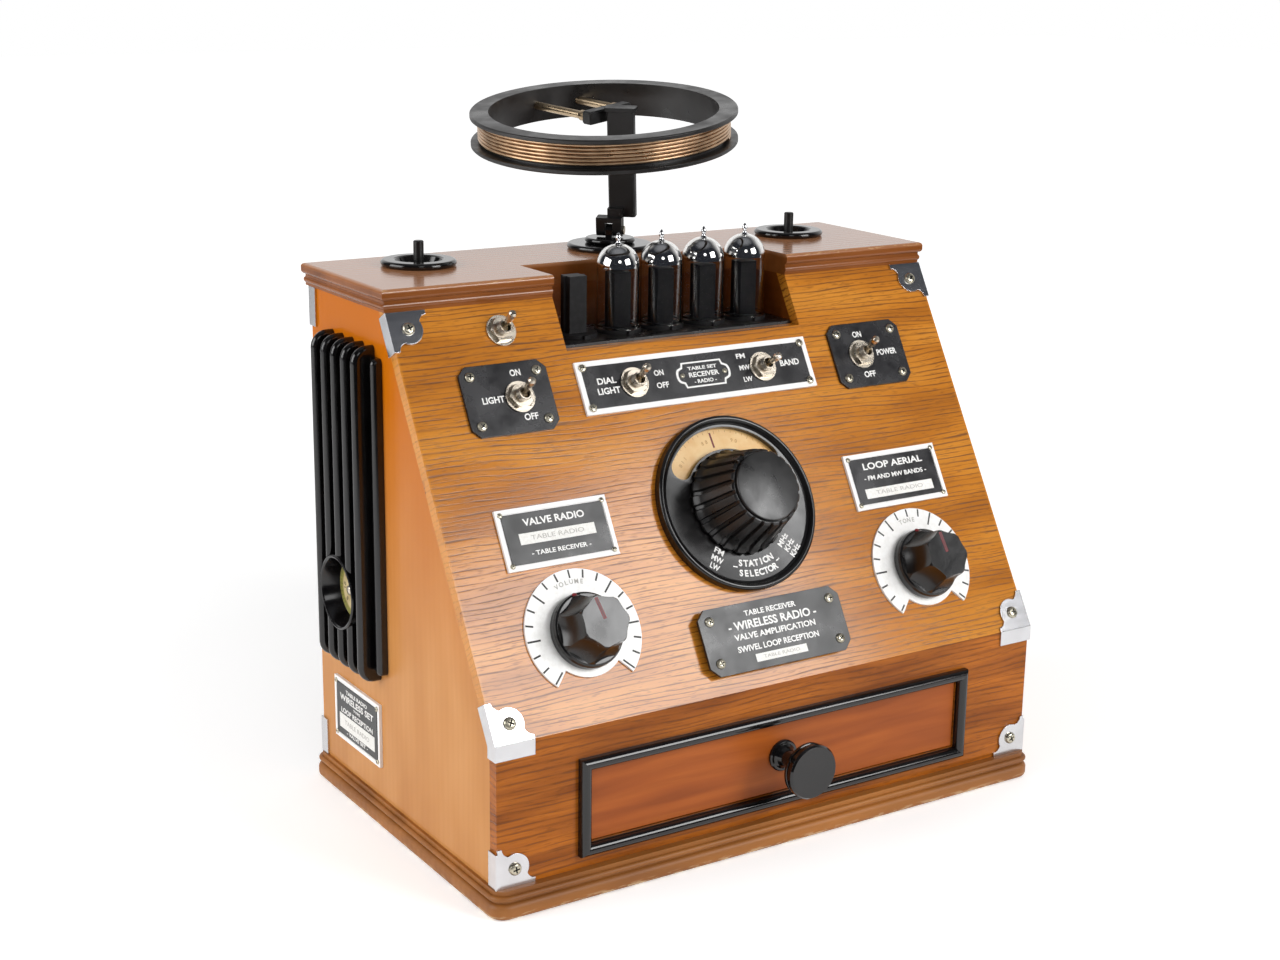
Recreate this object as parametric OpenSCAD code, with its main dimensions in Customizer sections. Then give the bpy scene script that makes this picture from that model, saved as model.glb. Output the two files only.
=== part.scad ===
// Table radio receiver with a sloping front, valve bay, drawer and swivelling loop aerial
// Origin at the centre of the base where it stands, +Z up, the front faces -Y

/* [Cabinet] */
// Width of the cabinet body
body_w = 309; // [290:1:330]
// Depth of the cabinet body
body_d = 183; // [175:1:195]
// Height of the body's top edge above the table
body_top = 254; // [245:1:265]
// Height of the bend between the upright front and the slope
bend_z = 81; // [78:1:85]
// Angle of the sloping front from the horizontal
slope_angle = 59.7; // [58:0.1:61]
// Thickness of the front boards
board_t = 6; // [5:0.5:7]
// Thickness of the side boards
side_t = 9; // [7:0.5:11]
// Thickness of the rear cover
rear_t = 4; // [3:0.5:6]

/* [Base and lid] */
// Overhang of the base past the body at the sides
base_over_x = 3.75; // [3:0.25:6]
// Overhang of the base past the body at front and back
base_over_y = 6; // [5:0.5:9]
// Height of the base
base_h = 13.5; // [12:0.5:16]
// Radius of the base's upright corners
base_r = 8; // [5:0.5:10]
// Overhang of the lid past the sides
lid_over_x = 2.5; // [2:0.25:5]
// Overhang of the lid past the top of the slope
lid_over_front = 1.7; // [1:0.1:3]
// Overhang of the lid past the back
lid_over_back = 6; // [4:0.5:8]
// Thickness of the lid
lid_t = 10.6; // [9.4:0.2:13]

/* [Valve bay] */
// Width of the bay cut into the lid and slope
bay_w = 136; // [132:1:150]
// Distance from the body's back to the bay's back wall
bay_back_in = 50.8; // [48:0.2:52]
// Height of the bay floor
bay_floor_z = 230.5; // [226:0.5:234]
// Thickness of the bay's walls and floor
bay_t = 5; // [4:0.5:7]
// Thickness of the black deck in the bay
deck_t = 1.8; // [1.2:0.2:2.4]
// Distance between neighbouring valve positions
valve_pitch = 25; // [24:0.5:26]
// Distance from the valves to the bay's back wall
valve_in = 20.7; // [18:0.1:22]
// Outer diameter of the glass envelopes
glass_d = 21; // [18:0.5:22]
// Wall of the glass envelopes
glass_t = 0.8; // [0.6:0.1:1.2]
// Height of the straight part of the glass
glass_h = 30.4; // [28:0.2:34]
// Height of the pip on top of the glass
pip_h = 5.4; // [4:0.2:7]
// Width of the dark cores inside the valves
core_w = 9.5; // [8:0.5:11]
// Depth of the dark cores
core_d = 8.5; // [7:0.5:10]
// Height of the dark cores
core_h = 27.4; // [24:0.2:29]

/* [Front controls] */
// Place up the slope of the tuning dial's centre
dial_s = 88; // [86:0.5:89]
// Outer diameter of the tuning escutcheon
dial_d = 86.8; // [82:0.4:90]
// Height of the escutcheon's rim above the slope
dial_rim_h = 5; // [4:0.5:6]
// Overall diameter of the tuning knob's skirt
tune_skirt_d = 56; // [52:0.5:58]
// Diameter of the flat face of the tuning knob
tune_face_d = 33; // [30:0.5:36]
// Height of the tuning knob's face above the slope
tune_h = 31; // [26:0.5:34]
// Number of ribs round the tuning knob
flute_n = 22; // [18:1:26]
// Distance of volume and tone controls from the middle
control_x = 98.5; // [96:0.5:101]
// Place up the slope of the volume and tone controls
control_s = 41.5; // [40:0.5:43]
// Outer diameter of the volume and tone scales
scale_d = 58.8; // [54:0.4:60]
// Thickness of the scales
scale_t = 1.2; // [0.8:0.1:1.6]
// Diameter of the small knobs' skirts
knob_skirt_d = 35; // [32:0.5:37]
// Height of the small knobs above the slope
knob_h = 23; // [19:0.5:26]
// Diameter of the control spindles
spindle_d = 6; // [5:0.25:6.5]

/* [Switches] */
// Place up the slope of the row of switches
switch_s = 153.5; // [152:0.5:156]
// Distance of the outer switches from the middle
outer_switch_x = 99.6; // [97:0.2:102]
// Distance of the inner switches from the middle
inner_switch_x = 37.5; // [34:0.5:40]
// Place up the slope of the single switch without a plate
lone_switch_s = 186.5; // [184:0.5:188]
// Outer diameter of the switch bushings
bush_d = 6.2; // [5.8:0.1:6.6]
// Width across flats of the switch nuts
nut_af = 11; // [10:0.5:12]
// Length of the switch levers from their pivot
lever_l = 13.5; // [11:0.5:16]
// Angle of the switch levers to either side of the middle
lever_throw = 13; // [10:0.5:14]

/* [Plates] */
// Width of the small black switch plates
plate_w = 45.5; // [44:0.5:48]
// Height of the small black switch plates
plate_h = 34; // [32:0.5:36]
// Distance of the small switch plates' centres from the middle
plate_x = 105; // [104:0.2:107]
// Width of the long switch plate
band_w = 134; // [126:1:138]
// Height of the long switch plate
band_h = 26.2; // [24:0.2:29]
// Width of the two name plates
name_w = 58; // [54:0.5:60]
// Height of the two name plates
name_h = 28.6; // [26:0.2:30]
// Width of the centre plate
centre_w = 81.6; // [76:0.2:86]
// Height of the centre plate
centre_h = 32; // [30:0.5:33]
// Thickness of all plates
plate_t = 1.5; // [1:0.1:2]
// Height of the centre plate's stand-offs
standoff_h = 3; // [2:0.5:4]
// Width of the plate on the left side
side_plate_w = 51; // [46:0.5:54]
// Height of the plate on the left side
side_plate_h = 32; // [28:0.5:34]
// Radius of the screw heads
screw_r = 2.4; // [2:0.1:2.8]

/* [Drawer] */
// Outer width of the black drawer frame
frame_w = 226; // [216:1:234]
// Outer height of the black drawer frame
frame_h = 47; // [44:0.5:48]
// Width of the frame's bead
frame_bead = 5.5; // [4.5:0.5:6]
// Height of the frame's centre above the table
drawer_z = 43; // [42:0.5:44]
// Depth of the drawer box behind its front
drawer_l = 132; // [110:1:140]
// How far the drawer pulls out
drawer_travel = 105; // [80:1:110]
// Gap round the drawer front
drawer_gap = 0.6; // [0.4:0.1:1]
// Wall of the drawer box and its housing
drawer_wall = 4; // [3:0.5:5]
// Diameter of the drawer knob
pull_d = 26.6; // [24:0.2:30]
// Reach of the drawer knob in front of the drawer
pull_l = 25; // [20:0.5:28]

/* [Corner plates] */
// Length of a corner plate's legs
corner_l = 19; // [17:0.5:21]
// Width of the flange folded round the edge
flange_w = 6; // [5:0.5:7]
// Thickness of the corner plates
corner_t = 1; // [0.8:0.1:1.2]
// Distance of a corner screw from the edges
corner_screw = 8.6; // [8:0.2:9.4]
// Radius of the round lobe about a corner screw
lobe_r = 7.2; // [6.6:0.2:7.6]

/* [Side grille] */
// Number of deep fins
fin_n = 5; // [4:1:6]
// Distance between neighbouring fins
fin_pitch = 11; // [10:0.25:11.5]
// Thickness of a fin
fin_t = 4.6; // [3.6:0.2:5.4]
// Reach of the deep fins from the cabinet side
fin_reach = 11.2; // [9:0.2:13]
// Height of the grille
grille_h = 163; // [150:1:170]
// Height of the grille's bottom above the table
grille_z = 74; // [70:1:80]
// Place of the middle fin, back from the cabinet's centre
grille_y = 46; // [42:0.5:48]
// Diameter of the round gauge in the grille
gauge_d = 36.6; // [33:0.2:38]
// Height of the gauge's centre above the grille's bottom
gauge_up = 39.5; // [36:0.5:44]

/* [Loop aerial] */
// Distance of the aerial's pivot from the body's back
aerial_in = 23.5; // [22.5:0.5:27]
// Diameter of the fixed disc on the lid
aerial_disc_d = 43.8; // [40:0.2:44]
// Diameter of the turning disc
turntable_d = 25.6; // [23:0.2:28]
// Height of the knuckle pin above the lid
knuckle_h = 9.4; // [8.4:0.2:11]
// Outer diameter of the loop's spool
spool_d = 132; // [124:1:136]
// Inner diameter of the loop's spool
spool_bore = 113.5; // [108:0.5:114]
// Overall height of the spool
spool_h = 16.6; // [15:0.1:18]
// Thickness of the spool's flanges
flange_t = 2; // [1.6:0.1:2.4]
// Height of the spool's centre above the knuckle pin
spool_up = 57; // [52:0.5:62]
// Shift of the spool's centre in front of the knuckle pin
spool_fore = 12.5; // [8:0.5:15]
// Diameter of the winding's wire
wire_d = 1.7; // [1.4:0.05:1.8]
// Number of turns in the winding
wire_n = 5; // [4:1:5]
// Depth of the winding below the flange edge
wire_in = 3.5; // [3:0.1:4.5]
// Diameter of the two rods that carry the spool
rod_d = 4; // [3:0.25:4.5]
// Distance between the two rods
rod_pitch = 22.5; // [20:0.5:25]
// Width of the flat arm
arm_w = 13.6; // [12:0.2:15]
// Thickness of the flat arm
arm_t = 6; // [5:0.2:7]
// Swivel of the aerial at rest, seen from above
rest_swivel = -44; // [-60:1:0]
// Forward tilt of the aerial at rest
rest_tilt = 8.3; // [0:0.1:12]

/* [Lid fittings] */
// Distance of the terminal rings from the middle
ring_x = 110.5; // [106:0.5:114]
// Distance of the terminal rings from the body's back
ring_in = 27.5; // [24:0.5:32]
// Outer diameter of the terminal rings
ring_d = 36.6; // [32:0.2:40]
// Inner diameter of the terminal rings
ring_bore = 21.8; // [18:0.2:24]
// Height of the terminal rings
ring_h = 3.2; // [2.4:0.2:4]
// Diameter of the terminal posts
post_d = 5; // [4:0.25:6]
// Height of the terminal posts above the lid
post_h = 12; // [9:0.5:16]

/* [Fits] */
// Clearance on the diameter of a turning spindle
turn_gap = 0.1; // [0.04:0.02:0.16]
// Gap between a piece and the hole it passes
pass_gap = 0.4; // [0.3:0.1:0.6]

/* [Hidden] */
$fn = 48;
front_y = -body_d / 2;
back_y = body_d / 2;
base_w = body_w + 2 * base_over_x;
base_d = body_d + 2 * base_over_y;
base_nose_r = 2.6;
base_bead_r = 1.35;
base_lip_h = 2.2;
base_lip_in = 2.2;
lid_nose_r = 1.7;
lid_bead_r = 1.9;
lid_lip_in = 1.6;
lid_z = body_top + lid_t;
slope_s = (body_top - bend_z) / sin(slope_angle);
slope_top_y = front_y + slope_s * cos(slope_angle);
lid_front_y = slope_top_y - lid_over_front;
lid_w = body_w + 2 * lid_over_x;
bay_back_y = back_y - bay_back_in;
deck_z = bay_floor_z + deck_t;
deck_in = 5.8;
socket_h = 1.8;
valve_z = deck_z + socket_h;
valve_y = bay_back_y - valve_in;
glass_foot_h = 1.5;
dial_hole_d = dial_d - 6;
dial_disc_d = dial_hole_d - 3;
rim_r = dial_rim_h / 2;
dial_plate_t = rim_r;
window_in = 27;
window_out = 38;
window_half = 51;
hub_d = 14;
hub_well = 6;
groove_w = 2;
groove_in = 1.4;
shaft_back = 46;
shaft_front = 20.8;
pot_bush_d = spindle_d + 2.4;
pot_bush_top = 2;
pot_depth = 6;
knob_flat = 10.9;
knob_corner = 12.2;
scoop_r = 25.7;
volume_rest = 101;
tone_rest = 95;
gang_w = 94;
bush_top = 6.4;
lever_pivot = 3;
lever_ball = bush_d / 2 - 0.8;
washer_t = 0.8;
nut_t = 2.2;
frame_rise = 4.5;
frame_land = 0.05;
open_w = frame_w - 2 * frame_bead - 1;
open_h = frame_h - 2 * frame_bead - 1;
front_w = open_w - 2 * drawer_gap;
front_h = open_h - 2 * drawer_gap;
front_t = board_t;
box_w = front_w - 6;
box_h = front_h - 5;
housing_gap = 0.5;
housing_top = drawer_z + box_h / 2 + housing_gap + drawer_wall;
fin_first = grille_y - (fin_n - 1) / 2 * fin_pitch;
fin_last = grille_y + (fin_n - 1) / 2 * fin_pitch;
fin_round = 8;
rib_reach = 5;
rib_off = 7.5;
grille_back = 2;
gauge_z = grille_z + gauge_up;
gauge_face_z = 3;
gauge_pin_d = 1.6;
speaker_d = 66;
speaker_z = grille_z + grille_h - 50;
aerial_y = back_y - aerial_in;
stem_d = 8;
pivot_d = 5;
disc_h = 3;
turntable_h = 2.6;
pin_z = lid_z + knuckle_h;
pin_d = 2.4;
tongue_t = 3.4;
lug_t = 4.6;
lug_gap = 0.3;
spool_at = [1, -spool_fore];
rod_at = [-9.1, 2.9];
rod_turn = 57;
rod_hole = 1.6;
bar_d = 6.4;
bar_h = 6.6;
rod_front = 2.2;
winding_r = spool_d / 2 - wire_in - wire_d / 2;
winding_sides = 6;
winding_rings = 24;
winding_pitch = (spool_h - 2 * flange_t - wire_d - 0.2) / wire_n;
drum_r = (winding_r - wire_d / 2) * cos(180 / winding_rings) - wire_d * 0.1;
valve_x = [for (i = [-2:2]) i * valve_pitch];
switch_places = [
    [-outer_switch_x, lone_switch_s, 0, lever_throw],
    [-outer_switch_x, switch_s, plate_t, lever_throw],
    [-inner_switch_x, switch_s, plate_t, lever_throw],
    [inner_switch_x, switch_s, plate_t, 0],
    [outer_switch_x, switch_s, plate_t, lever_throw]
];
plate_screw_x = 17.4;
plate_screw_s = 11.8;
band_screw_x = band_w / 2 - 3.6;
band_screw_s = band_h / 2 - 3.2;
centre_s = 24;
centre_screw_x = centre_w / 2 - 6;
centre_screw_s = centre_h / 2 - 6;
name_s = 88;
name_x = 98.7;
name_screw = 2.4;
small_screw_r = 1.1;
side_plate_y = 48;
side_plate_z = 45.4;
corner_s = slope_s - 0.4;
corner_screw_r = screw_r + 0.6;
corner_tip = 2;
cove_r = 4.6;

// Depth of a point on a plane t behind the slope, at height z
function slope_y(t, z) = front_y + (t + (z - bend_z) * cos(slope_angle)) / sin(slope_angle);
// Height of the bend on a plane t behind both fronts
function bend_at(t) = bend_z - t * (1 - sin(slope_angle)) / cos(slope_angle);

// Children lie in the Y-Z plane and are drawn w wide about the middle
module along_x(w) {
    translate([-w / 2, 0, 0]) rotate([90, 0, 90]) linear_extrude(w) children();
}

// Children stand on the slope at x and s, with Y up the slope and Z out of it
module on_slope(x, s) {
    translate([x, front_y + s * cos(slope_angle), bend_z + s * sin(slope_angle)])
        rotate([slope_angle, 0, 0]) children();
}

// Children stand on the upright front, with Y up and Z out of it
module on_front(x, z) {
    translate([x, front_y, z]) rotate([90, 0, 0]) children();
}

// Children stand on the left side, with X to the front, Y up and Z out of it
module on_left(y, z) {
    translate([-body_w / 2, y, z]) rotate([90, 0, -90]) children();
}

// Children keep the aerial's own frame: X along the knuckle pin, Y away, Z up
module swivelled() {
    translate([0, aerial_y, 0]) rotate([0, 0, rest_swivel]) children();
}

// Children keep the tilting head's frame, with its origin on the knuckle pin
module tilted() {
    swivelled() translate([0, 0, pin_z]) rotate([rest_tilt, 0, 0]) children();
}

// Outline of a rectangle with cut corners
module cut_corners(w, h, c) {
    polygon([
        [-w / 2 + c, -h / 2], [w / 2 - c, -h / 2], [w / 2, -h / 2 + c], [w / 2, h / 2 - c],
        [w / 2 - c, h / 2], [-w / 2 + c, h / 2], [-w / 2, h / 2 - c], [-w / 2, -h / 2 + c]
    ]);
}

// Low round screw head, standing on z = 0
module screw(r) {
    rotate_extrude() polygon([
        [0, 0], [r, 0], [r, r * 0.25], [r * 0.75, r * 0.5], [r * 0.3, r * 0.6], [0, r * 0.6]
    ]);
}

// Section of a moulded edge, from the middle out: round nose, quirk, bead and a lip on top
module edge_section(reach, h, nose_r, quirk_h, bead_r, bead_in, lip_h, lip_in) {
    nose_h = h - lip_h - 2 * bead_r - quirk_h;
    translate([0, nose_r]) square([reach, nose_h - 2 * nose_r]);
    square([reach - nose_r, nose_h]);
    for (z = [nose_r, nose_h - nose_r]) translate([reach - nose_r, z]) circle(nose_r);
    square([reach - lip_in, h]);
    translate([reach - bead_in - bead_r, nose_h + quirk_h + bead_r]) circle(bead_r);
}

// The base's edge, reach wide
module base_section(reach) {
    edge_section(reach, base_h, base_nose_r, 1, base_bead_r, 0.3, base_lip_h, base_lip_in);
}

// The lid's edge, which has its nose on top, reach wide
module lid_section(reach) {
    translate([0, lid_t]) mirror([0, 1, 0])
        edge_section(reach, lid_t, lid_nose_r, 0.8, lid_bead_r, 0.9, 0.8, lid_lip_in);
}

// Children, a section from the middle out, drawn to both sides
module both_sides() {
    children();
    mirror([1, 0, 0]) children();
}

module base_plinth() {
    color("sienna") union() {
        along_x(base_w - 2 * base_r) both_sides() base_section(base_d / 2);
        rotate([0, 0, 90]) along_x(base_d - 2 * base_r) both_sides() base_section(base_w / 2);
        for (x = [0, 1], y = [0, 1]) mirror([x, 0, 0]) mirror([0, y, 0])
            translate([base_w / 2 - base_r, base_d / 2 - base_r, 0])
                rotate_extrude(angle = 90) base_section(base_r);
    }
}

module side_board() {
    rotate([90, 0, 90]) linear_extrude(side_t) polygon([
        [front_y + board_t, base_h], [front_y + board_t, bend_at(board_t)],
        [slope_y(board_t, body_top), body_top], [back_y, body_top], [back_y, base_h]
    ]);
}

module side_panel_left() {
    color("peru") difference() {
        translate([-body_w / 2, 0, 0]) side_board();
        on_left(grille_y, speaker_z) translate([0, 0, -side_t - 1])
            cylinder(d = speaker_d - 10, h = side_t + 2);
    }
}

module side_panel_right() {
    color("peru") translate([body_w / 2 - side_t, 0, 0]) side_board();
}

// Cuts the bay's opening out of the slope and the lid
module bay_cut(extra) {
    translate([-bay_w / 2, front_y - 1, bay_floor_z])
        cube([bay_w, bay_back_y - front_y + 1 + extra, lid_z - bay_floor_z + 1]);
}

module slope_panel() {
    color("chocolate") difference() {
        along_x(body_w) polygon([
            [front_y, bend_z], [slope_top_y, body_top],
            [slope_y(board_t, body_top), body_top], [front_y + board_t, bend_at(board_t)]
        ]);
        bay_cut(0);
        on_slope(0, dial_s) translate([0, 0, -board_t - 1]) cylinder(d = dial_hole_d, h = board_t + 2);
        for (x = [-control_x, control_x])
            on_slope(x, control_s) translate([0, 0, -board_t - 1])
                cylinder(d = pot_bush_d + pass_gap, h = board_t + 2);
        for (p = switch_places)
            on_slope(p[0], p[1]) translate([0, 0, -board_t - 1])
                cylinder(d = bush_d + pass_gap, h = board_t + 2);
    }
}

module lower_panel() {
    color("chocolate") difference() {
        along_x(body_w) polygon([
            [front_y, base_h], [front_y, bend_z],
            [front_y + board_t, bend_at(board_t)], [front_y + board_t, base_h]
        ]);
        translate([-open_w / 2, front_y - 1, drawer_z - open_h / 2])
            cube([open_w, board_t + 2, open_h]);
    }
}

module rear_cover() {
    w = body_w - 2 * side_t;
    h = body_top - base_h;
    slot_w = 60;
    slot_h = 4;
    slot_x = 50;
    slot_up = 110;
    slot_pitch = 11;
    gland_d = 13;
    gland_bore = 7;
    gland_l = 3;
    gland_at = [-w / 2 + 30, back_y, base_h + 20];
    color("saddlebrown") difference() {
        union() {
            translate([-w / 2, back_y - rear_t, base_h]) cube([w, rear_t, h]);
            translate(gland_at) rotate([-90, 0, 0]) cylinder(d = gland_d, h = gland_l);
        }
        for (x = [-slot_x, slot_x], i = [0:7])
            translate([x - slot_w / 2, back_y - rear_t - 1, base_h + slot_up + slot_pitch * i])
                cube([slot_w, rear_t + 2, slot_h]);
        translate(gland_at) rotate([-90, 0, 0]) translate([0, 0, -1]) cylinder(d = gland_bore, h = gland_l + 2);
    }
}

// Board with a moulded edge all round, open over the bay and bored for what stands on it
module top_lid() {
    d = back_y + lid_over_back - lid_front_y;
    stem_hole = 7;
    well = 4;
    color("sienna") difference() {
        translate([0, lid_front_y + d / 2, body_top]) intersection() {
            along_x(lid_w) both_sides() lid_section(d / 2);
            rotate([0, 0, 90]) along_x(d) both_sides() lid_section(lid_w / 2);
        }
        bay_cut(0);
        translate([0, aerial_y, lid_z - stem_hole]) cylinder(d = stem_d + pass_gap, h = stem_hole + 1);
        for (x = [-ring_x, ring_x])
            translate([x, back_y - ring_in, lid_z - well]) cylinder(d = ring_bore, h = well + 1);
    }
}

module valve_bay() {
    wide = bay_w + 2 * bay_t;
    low = bay_floor_z - bay_t;
    color("saddlebrown") difference() {
        along_x(wide) polygon([
            [slope_y(board_t, low), low], [slope_y(board_t, body_top), body_top],
            [bay_back_y + bay_t, body_top], [bay_back_y + bay_t, low]
        ]);
        translate([-bay_w / 2, front_y, bay_floor_z])
            cube([bay_w, bay_back_y - front_y, body_top - bay_floor_z + 1]);
    }
}

module valve_deck() {
    y0 = slope_y(0, bay_floor_z) + deck_in;
    y1 = bay_back_y - 0.5;
    bevel = 0.6;
    color("black") along_x(bay_w - 3) polygon([
        [y0, bay_floor_z], [y0, deck_z - bevel], [y0 + bevel, deck_z], [y1, deck_z], [y1, bay_floor_z]
    ]);
}

// Socket discs with their contact clips and the dark cores, the first one bare
module valve_cores() {
    clip_w = 3;
    clip_out = 1.4;
    rib_d = 1.6;
    color("dimgray") for (x = valve_x) translate([x, valve_y, deck_z]) union() {
        cylinder(d = glass_d + 2, h = socket_h);
        translate([-clip_w / 2, -glass_d / 2 - 1 - clip_out, 0]) cube([clip_w, clip_out + 2, socket_h]);
        translate([-core_w / 2, -core_d / 2, 0]) cube([core_w, core_d, socket_h + core_h]);
        for (a = [-1, 1]) translate([a * (core_w / 2 + rib_d * 0.3), 0, 0]) cylinder(d = rib_d, h = socket_h + core_h);
    }
}

// Clear envelope with a foot ring, a round shoulder and a drawn pip
module valve_glass(i) {
    r = glass_d / 2;
    q = r - glass_t;
    color("lightcyan", 0.4) translate([valve_x[i], valve_y, valve_z]) rotate_extrude() polygon(concat(
        [[q, 0], [r + 0.7, 0], [r + 0.7, glass_foot_h], [r, glass_foot_h]],
        [for (a = [0:7.5:75]) [r * cos(a), glass_h + r * sin(a)]],
        [[1.9, glass_h + r * sin(80)], [1.5, glass_h + r + pip_h * 0.35],
         [1.7, glass_h + r + pip_h * 0.55], [0.7, glass_h + r + pip_h * 0.8],
         [0, glass_h + r + pip_h]],
        [for (a = [90:-7.5:0]) [q * cos(a), glass_h + q * sin(a)]]
    ));
}

// Ring with a flat top and a half-round outer edge, its collar let into the lid
module terminal_rings() {
    collar_r = ring_bore / 2 - 0.2;
    inner_r = collar_r - 0.8;
    edge_r = ring_h / 2;
    color("black") for (x = [-ring_x, ring_x]) translate([x, back_y - ring_in, lid_z]) rotate_extrude() {
        translate([ring_d / 2 - edge_r, edge_r]) circle(edge_r);
        polygon([
            [inner_r, -3], [collar_r, -3], [collar_r, 0], [ring_d / 2 - edge_r, 0],
            [ring_d / 2 - edge_r, ring_h], [collar_r + 1.6, ring_h], [collar_r + 0.6, ring_h - 0.5],
            [inner_r, 0]
        ]);
    }
}

// Post on a round foot in the ring's well
module terminal_posts() {
    well = 4;
    color("black") for (x = [-ring_x, ring_x]) translate([x, back_y - ring_in, lid_z - well]) rotate_extrude()
        polygon([
            [0, 0], [ring_bore / 2 - 1.2, 0], [ring_bore / 2 - 1.2, 1.6], [post_d / 2 + 1.2, 1.6],
            [post_d / 2 + 1.2, 3.4], [post_d / 2, 3.4], [post_d / 2, well + post_h - 0.4],
            [post_d / 2 - 0.4, well + post_h], [0, well + post_h]
        ]);
}

// Flat leg of a corner plate in the quadrant x > 0, y > 0: a round lobe between two coves
module corner_outline() {
    translate([corner_screw, corner_screw]) circle(lobe_r);
    for (m = [0, 1]) mirror([m, -m, 0]) difference() {
        square([corner_l, corner_screw]);
        translate([corner_l + 0.4, cove_r + corner_tip]) circle(cove_r);
    }
}

module top_corner(side) {
    color("silver") on_slope(side * body_w / 2, corner_s) mirror([side > 0 ? 1 : 0, 0, 0]) mirror([0, 1, 0]) {
        linear_extrude(corner_t) corner_outline();
        translate([-corner_t, 0, -flange_w]) cube([corner_t, corner_l, flange_w + corner_t]);
    }
}

module bend_corner(side) {
    drop = 7;
    color("silver") {
        on_slope(side * body_w / 2, 0) mirror([side > 0 ? 1 : 0, 0, 0]) {
            linear_extrude(corner_t) corner_outline();
            translate([-corner_t, 0, -flange_w]) cube([corner_t, corner_l, flange_w + corner_t]);
        }
        on_front(side * body_w / 2, bend_z) mirror([side > 0 ? 1 : 0, 0, 0]) {
            translate([0, -drop, 0]) cube([corner_l, drop + corner_t * 0.6, corner_t]);
            translate([-corner_t, -drop, -flange_w]) cube([corner_t, drop + corner_t * 0.6, flange_w + corner_t]);
        }
    }
}

module foot_corner(side) {
    color("silver") on_front(side * body_w / 2, base_h) mirror([side > 0 ? 1 : 0, 0, 0]) {
        linear_extrude(corner_t) corner_outline();
        translate([-corner_t, 0, -flange_w]) cube([corner_t, corner_l - 2, flange_w + corner_t]);
    }
}

// Corner plate on the back, at the bottom or, upside down, at the top
module rear_corner(side, z, up) {
    color("silver") translate([side * body_w / 2, back_y, z]) mirror([side > 0 ? 1 : 0, 0, 0])
        rotate([90, 0, 0]) mirror([0, 0, 1]) mirror([0, up ? 0 : 1, 0]) {
            linear_extrude(corner_t) corner_outline();
            translate([-corner_t, 0, -flange_w]) cube([corner_t, corner_l, flange_w + corner_t]);
        }
}

module top_corners() { for (side = [-1, 1]) top_corner(side); }

module bend_corners() { for (side = [-1, 1]) bend_corner(side); }

module foot_corners() { for (side = [-1, 1]) foot_corner(side); }

module rear_corners() {
    for (side = [-1, 1]) {
        rear_corner(side, base_h, true);
        rear_corner(side, body_top, false);
    }
}

module face_screws() {
    lift = 0.02;
    inner = body_w / 2 - corner_screw;
    color("gainsboro") {
        for (side = [-1, 1]) {
            for (s = [corner_s - corner_screw, corner_screw])
                on_slope(side * inner, s) translate([0, 0, corner_t + lift]) screw(corner_screw_r);
            on_front(side * inner, base_h + corner_screw) translate([0, 0, corner_t + lift]) screw(corner_screw_r);
            for (z = [base_h + corner_screw, body_top - corner_screw])
                translate([side * inner, back_y + corner_t + lift, z]) rotate([-90, 0, 0]) screw(corner_screw_r);
            for (x = [-1, 1], s = [-1, 1])
                on_slope(side * plate_x + x * plate_screw_x, switch_s + s * plate_screw_s)
                    translate([0, 0, plate_t + lift]) screw(screw_r);
            for (s = [-1, 1]) {
                on_slope(side * band_screw_x, switch_s + s * band_screw_s)
                    translate([0, 0, plate_t + lift]) screw(screw_r - 0.4);
                on_slope(side * centre_screw_x, centre_s + s * centre_screw_s)
                    translate([0, 0, standoff_h + plate_t + lift]) screw(screw_r);
            }
            for (x = [-1, 1], s = [-1, 1])
                on_slope(side * name_x + x * (name_w / 2 - name_screw), name_s + s * (name_h / 2 - name_screw))
                    translate([0, 0, plate_t + lift]) screw(small_screw_r);
        }
        for (x = [-1, 1], z = [-1, 1])
            on_left(side_plate_y + x * (side_plate_w / 2 - name_screw), side_plate_z + z * (side_plate_h / 2 - name_screw))
                translate([0, 0, plate_t + lift]) screw(small_screw_r);
    }
}

// Black plate with cut corners round one outer switch
module switch_plate(side) {
    color("black") on_slope(side * plate_x, switch_s) difference() {
        linear_extrude(plate_t) cut_corners(plate_w, plate_h, 4);
        translate([side * (outer_switch_x - plate_x), 0, -1]) cylinder(d = bush_d + pass_gap, h = plate_t + 2);
    }
}

module light_plate() { switch_plate(-1); }

module power_plate() { switch_plate(1); }

module band_plate() {
    color("black") on_slope(0, switch_s) difference() {
        linear_extrude(plate_t) square([band_w, band_h], center = true);
        for (x = [-inner_switch_x, inner_switch_x])
            translate([x, 0, -1]) cylinder(d = bush_d + pass_gap, h = plate_t + 2);
    }
}

// Framed plate: a raised border round a sunk field
module framed_plate(w, h) {
    difference() {
        linear_extrude(plate_t) square([w, h], center = true);
        translate([0, 0, plate_t - 0.4]) linear_extrude(1) cut_corners(w - 4, h - 4, 2);
    }
}

module left_nameplate() { color("silver") on_slope(-name_x, name_s) framed_plate(name_w, name_h); }

module right_nameplate() { color("silver") on_slope(name_x, name_s) framed_plate(name_w, name_h); }

module side_nameplate() { color("silver") on_left(side_plate_y, side_plate_z) framed_plate(side_plate_w, side_plate_h); }

module centre_plate() {
    color("dimgray") on_slope(0, centre_s) union() {
        translate([0, 0, standoff_h]) linear_extrude(plate_t) cut_corners(centre_w, centre_h, 4.5);
        for (x = [-1, 1], s = [-1, 1])
            translate([x * centre_screw_x, s * centre_screw_s, 0]) cylinder(r = screw_r, h = standoff_h);
    }
}

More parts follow.
